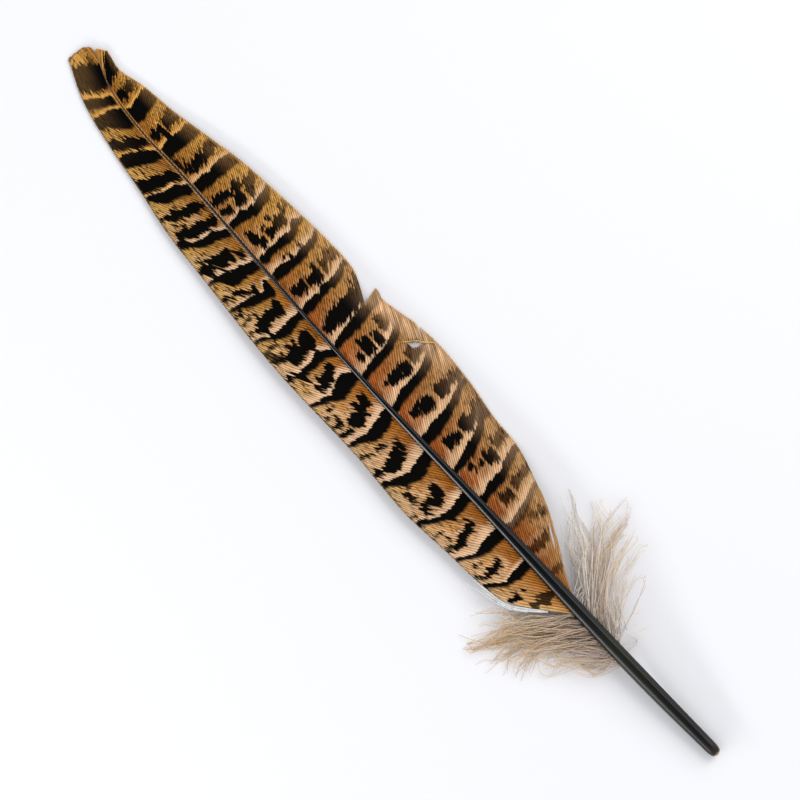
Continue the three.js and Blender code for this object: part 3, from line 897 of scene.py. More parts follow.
# %% Marks on the right vane
RIGHT_MARKS = [
    blotch((0, 59.5, 61), (3, 59.3, 60.8), (5, 59, 60.5), strength=0.7),
    blotch((0, 67, 68.7), (3, 66.5, 68.3), (5, 66.7, 68.3), (7, 67, 68.5), (8, 67.5, 69), strength=0.75),
    blotch((9.3, 71.8, 73.4), (10, 71.5, 74), (10.8, 72, 73.6), strength=0.7),
    blotch((6.5, 72.9, 74), (7.5, 72.7, 74.3), (8.5, 73, 74), strength=0.55),
    bar(2.0, (0, 74.5, 76.3), (3, 74, 76), (5, 74.3, 76.5), (7, 74.8, 77), (9, 76, 77.5),
             (12.5, 77.8, 79), strength=0.8),
    blotch((4.5, 80.2, 82.2), (6, 79.7, 82.3), (7.5, 79.3, 82), strength=0.9),
    blotch((9, 81, 83), (11, 81.2, 83.6), (13, 81.8, 83.6), strength=0.9),
    bar(2.8, (0, 83.3, 85.2), (3, 83.5, 85.6), (5, 83.8, 86.2), (7, 84, 86.5), (9, 84.2, 86.5),
             (11, 85.5, 87.5), (13, 86, 88.2), (15, 87, 88.8)),
    blotch((8.5, 89.2, 91.6), (10, 89, 92.2), (11.2, 89.4, 91.6)),
    blotch((6.5, 90.4, 91.9), (7.4, 90.3, 92)),
    blotch((4, 90.9, 92.2), (5.2, 90.8, 92.3)),
    blotch((12.5, 90.5, 93.5), (15, 91.2, 94), strength=0.9),
    bar(2.8, (0, 93.2, 94.8), (3, 93.3, 95), (5, 93.3, 95.7), (7, 93.5, 96.3), (9, 94.5, 97),
             (11, 95, 97.5), (12.5, 96, 98), (15, 98, 100)),
    blotch((9.5, 99, 102), (11.5, 98.7, 102.3), (13, 99.2, 101.6)),
    blotch((6.5, 98.6, 100.6), (8.3, 98.5, 100.8)),
    blotch((4, 98.7, 101.5), (6, 98.5, 101.7)),
    blotch((15, 99.5, 102.5), (16.8, 100.4, 103), strength=0.9),
    bar(2.6, (0, 103, 105.3), (3, 102.8, 105.8), (5, 103, 106.3), (7, 103.7, 106.3), (9, 104, 106.5),
             (11, 104.8, 106.7), (13, 105.3, 107.5), (15, 106.5, 108), (16.5, 107.3, 108.7)),
    blotch((11, 109.2, 112.2), (12.8, 109, 112.5), (14.5, 109.4, 112)),
    blotch((5.5, 108.8, 112), (7, 108.5, 112.5), (9, 108.9, 112)),
    blotch((3, 109.7, 112), (5, 109.5, 112.3)),
    bar(2.6, (0, 113.7, 115.4), (3, 114.3, 116.5), (5, 114.8, 117.3), (7, 115, 117.4), (9, 115.3, 117.5),
             (11, 115.6, 117.8), (13, 116, 118.3), (15, 117, 119.3), (17, 118.5, 120.5)),
    blotch((8.5, 118.7, 122), (9.6, 118.5, 122.5), (10.8, 119, 122)),
    blotch((4.5, 119.2, 121.5), (8, 119, 121.8)),
    blotch((12, 119.8, 123.6), (14.3, 120.4, 124), strength=0.85),
    bar(2.4, (0, 124.3, 126), (3, 125, 127), (6, 125.2, 127.6), (9, 125.5, 127.6), (11, 126, 128.3),
             (13, 127, 129), (15, 128.5, 130.5), (17, 130, 132)),
    blotch((8.8, 128.9, 132), (9.6, 128.7, 132.3), (10.5, 129, 132)),
    blotch((5, 128.7, 133), (6.4, 128.5, 133.5), (7.7, 129, 132.6)),
    blotch((2.7, 129, 131), (4, 129.2, 130.8)),
    blotch((12, 130.8, 134.6), (14.8, 131.4, 135), strength=0.9),
    bar(2.6, (0, 134.5, 136.3), (3, 135, 137), (5, 135, 137.6), (8, 135.2, 138), (11, 135.8, 138.5),
             (13, 136.5, 139)),
    blotch((1.4, 139.3, 140.6), (2.5, 139, 141.6), (3.5, 138.9, 142.5), (5, 138.8, 143.2),
           (6.2, 138.9, 142.8), (7.5, 139, 143.2), (9, 139, 143.5), (11, 139.2, 143.3),
           (12.3, 139.6, 144)),
    blotch((13.8, 143.5, 145.6), (15.6, 144.4, 146), strength=0.9),
    bar(1.6, (0, 145.6, 147.6), (3, 145.8, 148.5), (5, 146.2, 148.6), (6, 146.7, 148),
             (7.5, 146.7, 149.2), (9, 147.1, 149.1), (10, 146.5, 148.8), (12, 147.1, 149.1),
             (13, 147.4, 149.5), (15, 149, 150.3)),
    blotch((1.4, 151.8, 153.4), (2, 150.8, 154), (3, 150.2, 153.3), (4, 150.3, 153.3), (5.1, 151.2, 153)),
    blotch((5.9, 150.5, 153), (7, 150.2, 153.3), (8, 150, 152.7), (9.6, 150.3, 153.5)),
    blotch((11, 150.5, 154.5), (12.1, 151.5, 154), (13, 152.2, 154.6), (15, 152.4, 155), strength=0.9),
    bar(1.4, (0, 156.8, 158.9), (2, 156.7, 159.4), (4, 156.4, 159.4), (5.5, 156.7, 158.9),
             (7, 156.5, 158.4), (8, 156.7, 158.6), (10, 157, 159.2), (12, 157.3, 159.4),
             (14, 157.9, 159.7), (15.8, 160, 161)),
    blotch((6.7, 158.4, 160), (7.2, 158.6, 160.2)),
    bar(1.4, (0, 162.3, 163.9), (2, 161.8, 164.2), (4, 162.3, 164.4), (6, 162.3, 164.2), (8, 162, 164.5),
             (9.5, 161.8, 164.5), (11, 162.3, 164.1), (12.2, 163, 165.6), (13, 163.9, 166),
             (14.8, 163.9, 165.3)),
    blotch((2.2, 167, 170.6), (3.3, 165.8, 170.3), (4, 165.2, 168.5), (4.8, 165.8, 168)),
    blotch((6.1, 165.6, 167.6), (7.5, 166, 168.2), (8.6, 166.5, 167.9), (9.4, 166.8, 168.6),
           (10.5, 166.4, 169.2), (11.8, 166.2, 169.4)),
    blotch((12.4, 168.2, 171), (14.8, 168.8, 171.4), strength=0.8),
    bar(1.2, (0, 173.2, 174.8), (2, 173.2, 175.2), (3.5, 172.9, 175.2), (5, 172.6, 175.8),
             (6, 172.4, 174.8), (8, 172.4, 175), (10, 172.9, 175.5), (12, 173.3, 175.8), (13, 174.2, 176),
             (14, 175.4, 177)),
    blotch((1, 176.9, 178.2), (2, 176.7, 178.3), (3.6, 176.6, 178.2)),
    blotch((5, 176.5, 178), (6, 176.2, 178.6), (7.2, 176, 180), (7.9, 177, 179.6)),
    blotch((0.8, 180, 182), (2, 179.8, 182.8), (3, 179.8, 182), (4.5, 179.7, 181.7), (6, 179.8, 181),
           (7, 180.2, 181.2), (8, 180, 181.7), (9, 180, 181.6)),
    blotch((9.3, 177, 179), (10, 177.1, 181.5), (11, 177.9, 181.2), (12, 178.8, 181.7),
           (13.4, 180, 182.1)),
    bar(1.4, (0, 185.2, 188.2), (4, 184.7, 188.2), (5.5, 184.8, 187.7), (7, 184.8, 188.2),
             (9, 184.7, 188.3), (11, 184.8, 188), (12.8, 185.2, 187.9)),
    blotch((1, 191.2, 192.3), (2, 190.3, 192.7), (2.8, 190, 193.2)),
    blotch((3.2, 189.4, 192.4), (5, 189.8, 192.6), (7, 190, 192.7), (9, 190, 193), (10.3, 190.9, 193.9),
           (12, 191.6, 194)),
    bar(1.0, (0, 196.3, 199.6), (2, 196.2, 199.8), (3.3, 196.2, 200.2), (3.7, 196.2, 204.9),
             (4.3, 196.2, 204.9), (4.8, 196, 199.9), (7, 195.9, 199.7), (11, 196, 199.8)),
    blotch((1, 202.3, 203.9), (2, 201.5, 204.5), (3.6, 201.7, 204.5)),
    blotch((5.2, 201.8, 205), (6.3, 202.4, 204.8), (7.5, 202.3, 206.5), (9.2, 202.4, 206)),
    bar(0.8, (0, 208.4, 212.4), (2, 207.6, 212.3), (3.5, 208.2, 213), (5, 208.9, 213.6),
             (6.3, 209.2, 214.4), (8, 210, 214.2)),
    blotch((0.8, 215, 217.4), (1.6, 214.5, 217.9), (2.6, 214.8, 217)),
    blotch((3, 215.6, 218), (3.6, 215.8, 218.2), (4.4, 215.2, 218.8), (4.9, 216, 218.6), strength=0.95),
    blotch((5.5, 216, 218.4), (6.4, 216.6, 218.6), strength=0.6),
    blotch((0, 219.7, 221), (1, 219.8, 226), (2, 220.9, 228), (3.5, 222.6, 227.4), (4.6, 223.4, 227)),
    speck(121.2, 3.7, 0.6), speck(160.3, 10.3), speck(160.8, 5.5), speck(169.3, 6.3),
    speck(170.2, 8.7), speck(193.2, 0.9), speck(194.4, 1.1), speck(195.4, 0.8), speck(154.3, 9.3),
]
print(len(LEFT_MARKS), "marks on the left vane and", len(RIGHT_MARKS), "on the right")


# %% Read the marks at every point
# How deep a mark gets for each millimetre in from its side towards the quill, how much of a barb's
# earliness its edge shows, how far its edge is moved out and how ragged the edge is.
BAR = dict(quill_side=0.3, toothed=0.5, swollen=0.05, ragged=0.0)
BLOTCH = dict(quill_side=0.8, toothed=1.5, swollen=0.2, ragged=1.0)
TIP_SIDE = 0.8


def depth_in_mark(stations, along, out, quill_side):
    """How far inside a mark each point lies, in millimetres, negative outside it. A bar's side
    towards the quill is soft, so depth grows more slowly there."""
    outs, starts, ends = np.array(stations, float).T
    from_start = (along - np.interp(out, outs, starts)) * quill_side
    inside = np.minimum(from_start, (np.interp(out, outs, ends) - along) * TIP_SIDE)
    if outs[0] > 0.4:
        inside = np.minimum(inside, out - outs[0] + 0.1)
    if outs[-1] < 12:
        inside = np.minimum(inside, outs[-1] - out + 0.1)
    return inside


def cream_beyond(stations, width, along, out, early):
    """How creamy each point is: full from the bar's tip side on, fading out over the band, sooner or
    later from barb to barb."""
    outs, _, ends = np.array(stations, float).T
    past = (along - np.interp(out, outs, ends)) / (width * np.clip(1 + 0.9 * early, 0.4, 1.8))
    return np.where(past > -0.5, np.clip(1.5 - 1.2 * np.maximum(past, 0), 0, 1), 0)


def read_marks(marks, along, out, early):
    """Depth, strength, cream and raggedness at each point, which reads the marks a little early. Bars
    have even edges. Blotches are ragged, with long teeth."""
    depth = np.full(along.shape, -3.0)
    strength, cream, ragged = (np.zeros(along.shape) for _ in range(3))
    for power, band, stations in marks:
        kind = BAR if band > 0 else BLOTCH
        seen = along + early * kind["toothed"]
        here = depth_in_mark(stations, seen, out, kind["quill_side"]) + kind["swollen"]
        closer = here > depth
        strength = np.where(closer, power, strength)
        ragged = np.where(closer, kind["ragged"], ragged)
        depth = np.maximum(depth, here)
        if kind is BAR:
            cream = np.maximum(cream, cream_beyond(stations, band, seen, out, early))
    return depth, strength, cream, ragged


# %% [markdown]
# ## The colour of the barbs
#
# The ground colour changes from the shaft to the margin, rust to buff on the right and ochre to
# cream on the left, and turns golden towards the tip. Cream bands and dark marks lie over it, with
# fine dark flecks between them, thickest round the blotches. Each barb has its own tint, and its
# groove is painted darker than its ridge, as painted shade. Near the right vane's margin and at the
# tip the black is worn to a soft brown. All of it is mixed from numbers that the sheet carries.

# %% Finish for the vanes
GOLDEN_CREAM = linear(226, 168, 86)


def barb_finish(name, speck_sizes, ground, tip_ground, golden_from, cream, worn_dark, rim):
    barbs = Finish(name, 0.6, 0.03)
    share = barbs.attribute("share")
    streaks = barbs.noise((900, 14), 3.0)
    mottle = barbs.noise((240, 40), 3.0)
    specks = barbs.noise(speck_sizes, 1.5)
    patches = barbs.noise((50, 9), 1.0)

    near_tip = barbs.ramp(barbs.attribute("along"), golden_from, golden_from + 0.2, smooth=True)
    shade = barbs.blend(near_tip, barbs.colours(share, ground), barbs.colours(share, tip_ground))
    flecked = barbs.maths("MULTIPLY", barbs.ramp(specks, 0.51, 0.575), barbs.attribute("fleck"))
    flecked = barbs.maths("MULTIPLY", flecked, barbs.ramp(patches, 0.34, 0.54, 0.35, 1.1))
    shade = barbs.blend(flecked, shade, linear(46, 26, 11))
    at_tip = barbs.ramp(barbs.attribute("along"), 0.76, 0.9, smooth=True)
    shade = barbs.blend(barbs.attribute("cream"), shade, barbs.blend(at_tip, cream, GOLDEN_CREAM))
    tinted = barbs.maths("MULTIPLY_ADD", barbs.attribute("tint"), 0.14, 1.0)
    light = barbs.maths("MULTIPLY", tinted, barbs.ramp(streaks, 0.25, 0.75, 0.74, 1.24))
    light = barbs.maths("MULTIPLY", light, barbs.ramp(mottle, 0.25, 0.75, 0.86, 1.12))
    # Painted shade: each barb's groove is painted darker than its ridge, less so where it is cream.
    painted_groove_shade = barbs.ramp(barbs.attribute("cream"), 0, 1, 0.38, 0.62)
    light = barbs.maths("MULTIPLY", light, barbs.ramp(barbs.attribute("ridge"), 0.05, 0.85, painted_groove_shade, 1.15))
    shade = barbs.lit(shade, light)

    depth = barbs.attribute("depth")
    frayed = barbs.ramp(depth, -1.2, 0.1, 1.9, 0.9)
    wobble = barbs.maths("MULTIPLY", barbs.maths("SUBTRACT", streaks, 0.5), 0.5)
    tatter = barbs.maths("MULTIPLY", barbs.maths("SUBTRACT", specks, 0.5), frayed)
    tatter = barbs.maths("MULTIPLY", tatter, barbs.attribute("ragged"))
    edge = barbs.maths("ADD", depth, barbs.maths("ADD", wobble, tatter))
    black = barbs.ramp(edge, -0.14, 0.14, smooth=True)
    black = barbs.maths("MULTIPLY", black, barbs.attribute("strength"))
    shade = barbs.blend(black, shade, barbs.blend(barbs.attribute("wear"), linear(5, 4, 3), worn_dark))
    shade = barbs.blend(barbs.attribute("edge"), shade, rim)
    barbs.link("Base Color", shade)
    barbs.bump(streaks, 0.03)
    return barbs.material


left_barbs = barb_finish(
    "left_barbs", speck_sizes=(125, 34), golden_from=0.5, cream=linear(220, 180, 142),
    worn_dark=linear(58, 43, 30), rim=linear(96, 72, 40),
    ground=[(0.0, linear(156, 90, 28)), (0.25, linear(168, 104, 42)), (0.5, linear(188, 132, 72)),
            (0.8, linear(200, 150, 94)), (1.0, linear(214, 176, 124))],
    tip_ground=[(0.0, linear(154, 94, 32)), (0.5, linear(184, 132, 62)), (1.0, linear(206, 160, 88))])
right_barbs = barb_finish(
    "right_barbs", speck_sizes=(210, 46), golden_from=0.58, cream=linear(216, 174, 132),
    worn_dark=linear(72, 52, 36), rim=linear(196, 150, 90),
    ground=[(0.0, linear(170, 88, 36)), (0.3, linear(164, 98, 46)), (0.6, linear(168, 116, 62)),
            (1.0, linear(196, 152, 102))],
    tip_ground=[(0.0, linear(160, 98, 36)), (0.5, linear(186, 130, 56)), (1.0, linear(214, 160, 80))])

# %% Where a vane is worn, pale and flecked
HALO_AT = 0.8            # how far outside a blotch its pale halo is strongest
BLEACHED_AT = 126        # the middle of the bleached stretch of the right margin, along
PALE_PATCH = (134, 16.5)     # the middle of the pale patch beside the tear, along and out


def worn(vane, along, share):
    """How far black is worn to brown: by the right vane's margin, and at the left vane's tip."""
    near_tip = smooth_step(along, 200, 222)
    if vane["side"] > 0:
        return 0.9 * smooth_step(share, 0.5, 1.0) * (1 - 0.3 * near_tip)
    return smooth_step(share, 0.1, 0.8) * near_tip


def pale_by_shaft(along, out):
    """The pale line on both sides of the thin part of the shaft."""
    beside_shaft = 1 - smooth_step(out - SHAFT_RADIUS(along), 0.05, 0.3)
    return 0.9 * beside_shaft * smooth_step(along, 145, 180) * (1 - smooth_step(along, 216, 221))


def patch_by_tear(along, out):
    """The pale patch of the right vane, beside its tear."""
    at, away = PALE_PATCH
    return np.exp(-(((along - at) / 3.5) ** 2) - ((out - away) / 1.8) ** 2)


def halo_round_blotches(vane, depth, ragged, along, share):
    halo = ragged * np.exp(-((depth + HALO_AT) / 0.6) ** 2) * (1 - smooth_step(along, 175, 205))
    halo = halo * (0.3 if vane["side"] > 0 else 0.7 * smooth_step(share, 0.15, 0.45))
    return halo * smooth_step(along, 58, 66)


def flecked(vane, depth, ragged, cream, along, share):
    """How thickly each point is flecked: most of all round the blotches, least where it is cream."""
    is_right = vane["side"] > 0
    near_blotch = np.exp(np.minimum(depth, 0) / 1.2) * ragged
    fleck = 0.45 + 0.5 * near_blotch + 0.2 * smooth_step(along, 130, 200)
    fleck = fleck + (0 if is_right else 0.5 * smooth_step(share, 0.3, 0.7) - 0.15)
    fleck = fleck * smooth_step(along, 56, 72) + 0.3 * smooth_step(along, 221, 227)
    return np.clip(fleck * (1 - (0.8 if is_right else 0.6) * cream), 0, 0.95)


# %% Make both vanes
EARLY_BARB = 0.24        # how early or late a barb reads the marks, and each stretch of it
EARLY_ROW = 0.2


def make_vane(name, material, marks, seed, openings=(), holes=()):
    vane = VANES[name]
    is_right = vane["side"] > 0
    chance = np.random.default_rng(seed)
    seams = unhooked_margins(vane, chance) + list(openings)
    flat = cut_sheet(vane, seams, holes)
    mark_seam_sides(flat)
    mesh = closed_sheet(name, flat, vane["count"])
    at = bend_sheet(mesh, vane, chance, seams)

    along, out, numbered, rows = at["along"], at["out"], at["numbered"], at["rows"]
    jitter = chance.normal(0, EARLY_BARB, vane["count"] + 1)[:, None]
    jitter = jitter + barb_noise(chance, vane["count"], 4, EARLY_ROW)
    early = jitter[numbered, rows] + 0.5 * (at["ridge"] - 0.5)
    depth, strength, cream, ragged = read_marks(marks, along, out, early)

    share = np.clip(out / vane["margin"](along), 0, 1)
    wear = worn(vane, along, share)
    pale_line = pale_by_shaft(along, out)
    by_tear = patch_by_tear(along, out)
    bleached = smooth_step(share, 0.72, 0.92) * (1 - smooth_step(np.abs(along - BLEACHED_AT), 8, 16))
    bleached = np.maximum(0.9 * bleached, by_tear) * is_right
    halo = halo_round_blotches(vane, depth, ragged, along, share)
    tint = chance.normal(0, 0.55, vane["count"] + 1)[numbered]
    tint = tint * (1 + 3 * bleached) + 0.9 * bleached + 1.4 * by_tear * is_right
    streaky = chance.uniform(0.0, 1.0, vane["count"] + 1)[numbered]
    faded_end = streaky * smooth_step(along, 219, 226)
    cream = np.max([cream, pale_line, bleached, halo, faded_end], axis=0)
    strength = strength * (1 - (0.25 if is_right else 0.1) * wear)
    strength = strength * (1 - 0.9 * pale_line) * (1 - 0.75 * bleached)
    fleck = flecked(vane, depth, ragged, cream, along, share)
    for label, values in [
        ("depth", depth), ("strength", strength), ("cream", cream), ("ragged", ragged),
        ("fleck", fleck), ("share", share),
        ("along", along / SHAFT_LENGTH), ("ridge", at["ridge"]), ("tint", tint), ("wear", wear),
        ("edge", 0.8 * np.clip((rows - ROWS + 2) / 2, 0, 1)),
    ]:
        set_attribute(mesh, label, values)
    finished(mesh, name, material)


# Where the right vane has come apart, by places (along, out).
right = VANES["right_vane"]
SLIT = opening(right, (63.5, 6.0), (69.4, 9.3), 0.5)
NICK = (nearest_spot(right, 125.5, 18.7)[0], ROWS - 6, ROWS, 0.5)
HOLE = [(125.2, 13.7), (122.5, 14.2), (121.2, 17.5), (123.2, 16.1)]
print("the slit is", SLIT, "and the nick", NICK)
make_vane("left_vane", left_barbs, LEFT_MARKS, 11)
make_vane("right_vane", right_barbs, RIGHT_MARKS, 12, [SLIT, NICK], [HOLE])

# %% [markdown]
# ## One strand of down
#
# The barbs at the foot of the vanes have no hooks, so they part into soft strands, each fringed with
# fine barbules. Hair particles would be quick, but they aren't a mesh. One straight strand is made
# here from a three-sided cone cut into short lengths, with a dozen small spikes for its barbules.
# Every vertex notes where on the strand it belongs. An array repeats the strand, and one function
# then bends each copy along a path of its own.

# %% Make and repeat a strand
STRAND_STEPS = 20
STRAND_TAPER = 0.45
COPY_STEP = 4       # from one copy to the next in the array
STRAND_NOTES = ("share", "reach", "spike", "ring_x", "ring_y")


def straight_strand(barbules):
    """A strand one unit long with its barbules, which all still stand at the origin."""
    bm = bmesh.new()
    share, reach, spike, ring_x, ring_y = (bm.verts.layers.float.new(note) for note in STRAND_NOTES)
    bmesh.ops.create_cone(bm, cap_ends=True, segments=3, radius1=1, radius2=STRAND_TAPER, depth=1)
    cut_into_rings(bm, STRAND_STEPS - 1)
    for vertex in bm.verts:
        vertex[share] = vertex.co.z + 0.5
        vertex[spike] = -1
    for k in range(barbules):
        made = bmesh.ops.create_cone(bm, cap_ends=True, segments=3, radius1=1, radius2=0, depth=1)
        for vertex in made["verts"]:
            vertex[share] = 0.1 + 0.85 * (k + 0.5) / barbules
            vertex[reach] = vertex.co.z + 0.5
            vertex[spike] = k
    for vertex in bm.verts:
        vertex[ring_x] = vertex.co.x
        vertex[ring_y] = vertex.co.y
    bmesh.ops.recalc_face_normals(bm, faces=bm.faces)
    return as_mesh("strand", bm)


def repeated(name, mesh, count):
    """A mesh with many copies of another in a row, made by an array."""
    row = new_object(name, mesh)
    array = row.modifiers.new("row", "ARRAY")
    array.count = count
    array.use_relative_offset = False
    array.use_constant_offset = True
    array.constant_offset_displace = (COPY_STEP, 0, 0)
    made = bpy.data.meshes.new_from_object(row.evaluated_get(bpy.context.evaluated_depsgraph_get()))
    made.name = name
    bpy.data.objects.remove(row)
    return made


# %% Bend strands along their paths
BARBULE_THICKNESS = 0.28     # as a share of the strand's
BARBULES_SHORTEN = 0.65      # how much shorter they are at the strand's tip
ROUND_SHARE = 0.92           # how much of a strand's place on the map one round takes up


def unit(vectors):
    return vectors / np.maximum(np.linalg.norm(vectors, axis=-1, keepdims=True), 1e-9)


def made_strands(name, paths, radii, chance, barbules=0, length=0.0):
    """A mesh of strands along paths, an array of (strand, step, xyz), each with its own radius."""
    paths = np.array(paths)
    count = len(paths)
    mesh = repeated(name, straight_strand(barbules), count)
    number = np.round(vertices_of(mesh)[:, 0] / COPY_STEP).astype(int)
    share, reach, spike, ring_x, ring_y = (read_attribute(mesh, note) for note in STRAND_NOTES)
    is_spike = spike > -0.5
    step = np.clip((share * STRAND_STEPS).astype(int), 0, STRAND_STEPS - 1)
    part = (share * STRAND_STEPS - step)[:, None]
    headings = unit(np.gradient(paths, axis=1))
    centre = paths[number, step] * (1 - part) + paths[number, step + 1] * part
    forward = unit(headings[number, step] * (1 - part) + headings[number, step + 1] * part)
    sideways = unit(np.stack([forward[:, 1], -forward[:, 0], np.zeros(len(mesh.vertices))], axis=1))

    lift = chance.uniform(-0.5, 0.5, (count, max(barbules, 1)))
    size = chance.uniform(0.5, 1.0, (count, max(barbules, 1)))
    index = np.maximum(spike, 0).astype(int)
    side = np.where(index % 2 == 0, -1, 1)[:, None]
    slanted = unit(0.8 * forward + 0.55 * side * sideways + lift[number, index][:, None] * (0, 0, 1))
    direction = np.where(is_spike[:, None], slanted, forward)
    first = np.where(is_spike[:, None], unit(np.cross(direction, (0, 0, 1))), sideways)
    second = np.cross(direction, first)
    thick = np.asarray(radii)[number] * np.where(is_spike, BARBULE_THICKNESS, 1.0)
    grown = (reach * length * size[number, index] * (1 - BARBULES_SHORTEN * share))[:, None]
    points = centre + grown * direction
    points = points + (ring_x * thick)[:, None] * first + (ring_y * thick)[:, None] * second
    points[:, 2] = np.maximum(points[:, 2], 0.02)
    set_vertices(mesh, points)

    round_share = np.arctan2(ring_y, ring_x) / (2 * math.pi) + 0.5
    across = np.where(is_spike, (spike + 0.1 + 0.75 * reach) / max(barbules, 1), share)
    up = (number + ROUND_SHARE * round_share) / count
    period = 0.48 * ROUND_SHARE / count
    set_map(mesh, 0.01 + 0.98 * across, 0.01 + 0.48 * up + 0.5 * is_spike, period)
    return mesh, number


# %% [markdown]
# ## The tufts
#
# The left tuft spreads out level and the right one fans up beside its vane. In both, strands that
# leave the shaft side by side lean together into pointed locks, and a few locks side by side make a
# wisp. So each wisp is given with a few places. Its locks wander about that path, and the
# strands of a lock draw together towards their tips. The height of a lock is a share of the tuft's
# own height, so the tuft fills the room that its solid holds, and its tips come down to the surface.

# %% Wisps
# Each wisp: how many locks, how golden its tips are, its root along the shaft, and the places
# (along, out) that it passes.
LEFT_WISPS = [
    (2, 0.3, 48, [(57, 9), (61, 15), (67, 20)]), (1, 0.2, 48, [(55, 10), (61, 16), (66, 25)]),
    (3, 0.5, 47, [(56, 10), (61, 16), (65, 22)]), (3, 0.8, 45, [(51, 8), (58, 15), (62, 25)]),
    (3, 0.9, 44, [(53, 10), (58, 18), (62, 25)]), (4, 1.0, 43, [(54, 13), (57, 20), (61, 27)]),
    (3, 0.8, 43, [(53, 13), (57, 20), (60, 27)]), (3, 0.5, 42, [(52, 13), (55, 20), (57, 26)]),
    (3, 0.9, 41, [(51, 12), (54, 19), (55, 28)]), (3, 0.5, 41, [(50, 12), (53, 20), (54, 28)]),
    (2, 0.3, 40, [(49, 12), (52, 18), (52, 24)]), (3, 0.4, 39, [(48, 11), (51, 17), (49, 25)]),
    (3, 0.4, 39, [(47, 11), (50, 17), (49, 22)]), (2, 0.3, 38, [(47, 11), (49, 17), (46, 25)]),
    (3, 0.3, 38, [(46, 11), (48, 17), (47, 22)]), (2, 0.6, 37, [(45, 9), (47, 13), (46, 18)]),
    (3, 0.2, 36, [(42, 10), (44, 13), (48, 16)]), (3, 0.2, 34, [(38, 8), (43, 11), (48, 12)]),
    (3, 0.1, 34, [(37, 6), (41, 10), (46, 14)]), (1, 0.0, 33, [(36, 7), (38, 11), (40, 15)]),
    (1, 0.0, 48, [(58, 11), (65, 14), (72, 16.5)]),
]
RIGHT_WISPS = [
    (4, 0.0, 50, [(54, 5.4), (60, 8.9), (68, 13)]), (4, 0.0, 50, [(54, 6), (62, 11), (71, 15)]),
    (3, 0.1, 48, [(54, 7), (62, 10), (71, 15)]), (4, 0.2, 47, [(55, 8), (65, 13), (72, 16)]),
    (2, 0.0, 47, [(56, 10), (65, 16), (69, 21)]), (3, 0.2, 45, [(55, 11), (61, 15), (65, 21)]),
    (1, 0.0, 45, [(58, 14), (63, 20), (65, 25)]), (4, 0.9, 43, [(54, 10), (58, 17), (63, 23)]),
    (3, 0.3, 43, [(55, 12), (61, 21), (63, 24)]), (3, 0.7, 42, [(52, 9), (56, 17), (59, 22)]),
    (1, 0.1, 42, [(55, 13), (59, 23), (59, 28)]), (2, 0.3, 41, [(53, 13), (56, 20), (57, 26)]),
    (3, 0.8, 40, [(47, 9), (51, 17), (54, 24)]), (2, 0.5, 41, [(49, 8), (54, 18), (55, 23)]),
    (2, 0.5, 39, [(47, 9), (51, 19), (52, 23)]), (1, 0.3, 38, [(46, 10), (48, 18), (49, 22)]),
    (2, 0.4, 37, [(42, 10), (46, 15), (47, 20)]), (1, 0.2, 38, [(44, 12), (43, 17), (42, 24)]),
    (1, 0.2, 36, [(39, 8), (39, 11), (37, 13)]), (2, 0.0, 35, [(36, 4), (37, 6), (38, 8)]),
    (1, 0.1, 35, [(40, 8), (44, 14), (46, 18)]), (1, 0.2, 44, [(56, 14), (62, 22), (66, 27)]),
    (1, 0.3, 42, [(54, 15), (57, 23), (61, 29)]), (1, 0.2, 40, [(50, 14), (54, 22), (55, 28)]),
    (1, 0.2, 38, [(46, 12), (48, 19), (50, 26)]),
]

# %% Lay out the strands of a tuft
LOCK_WANDER = np.array([1.5, 1.4, 1.5, 1.3])[:, None]       # at the root and at the three places
STRAND_WANDER = np.array([0.9, 0.65, 0.55, 0.7])[:, None]
TUFT_RISE = 0.6     # height of a tuft's root over the shaft's centre, as a share of its radius
TUFT_EDGE = 1.4     # the tuft's loft at its tips
SWAY = 0.7          # how much of a strand's wave goes along, and how much out


def steps_along(spots, end=1.0):
    """Shares of the way along a smooth line through spots, and the place (along, out) at each."""
    smooth = smooth_line(spots)
    through = np.linspace(0, end, STRAND_STEPS + 1)
    at = through * (len(smooth) - 1)
    return through, *(np.interp(at, np.arange(len(smooth)), smooth[:, k]) for k in (0, 1))


def strand_path(side, reach, spots, end, loft, chance):
    """One strand's path through spots (along, out). Its end is the share of them that it reaches,
    and its loft the share of the tuft's height that it lies at."""
    spots[:, 1] = np.maximum(spots[:, 1], TUCKED * SHAFT_RADIUS(spots[0, 0]))
    through, along, out = steps_along(spots, end)
    size = chance.uniform(0.2, 0.75)
    waves = chance.uniform(1.5, 3.2)
    wave = size * through * np.sin(2 * math.pi * (through * waves + chance.random()))
    along = along + SWAY * wave
    out = out - SWAY * wave

    centre = along_line(line[:, 2], along)
    top = centre + TUFT_RISE * SHAFT_RADIUS(along)
    top = top + (TUFT_EDGE - top) * np.clip(out / reach, 0, 1)
    lofted = 0.2 + loft * (top - 0.5)
    start = centre[0] + (0.9 * loft - 0.5) * SHAFT_RADIUS(spots[0, 0])
    height = start + (lofted - start) * smooth_step(through, 0, 0.3)
    return place(along, side * out, np.maximum(height, 0.15))


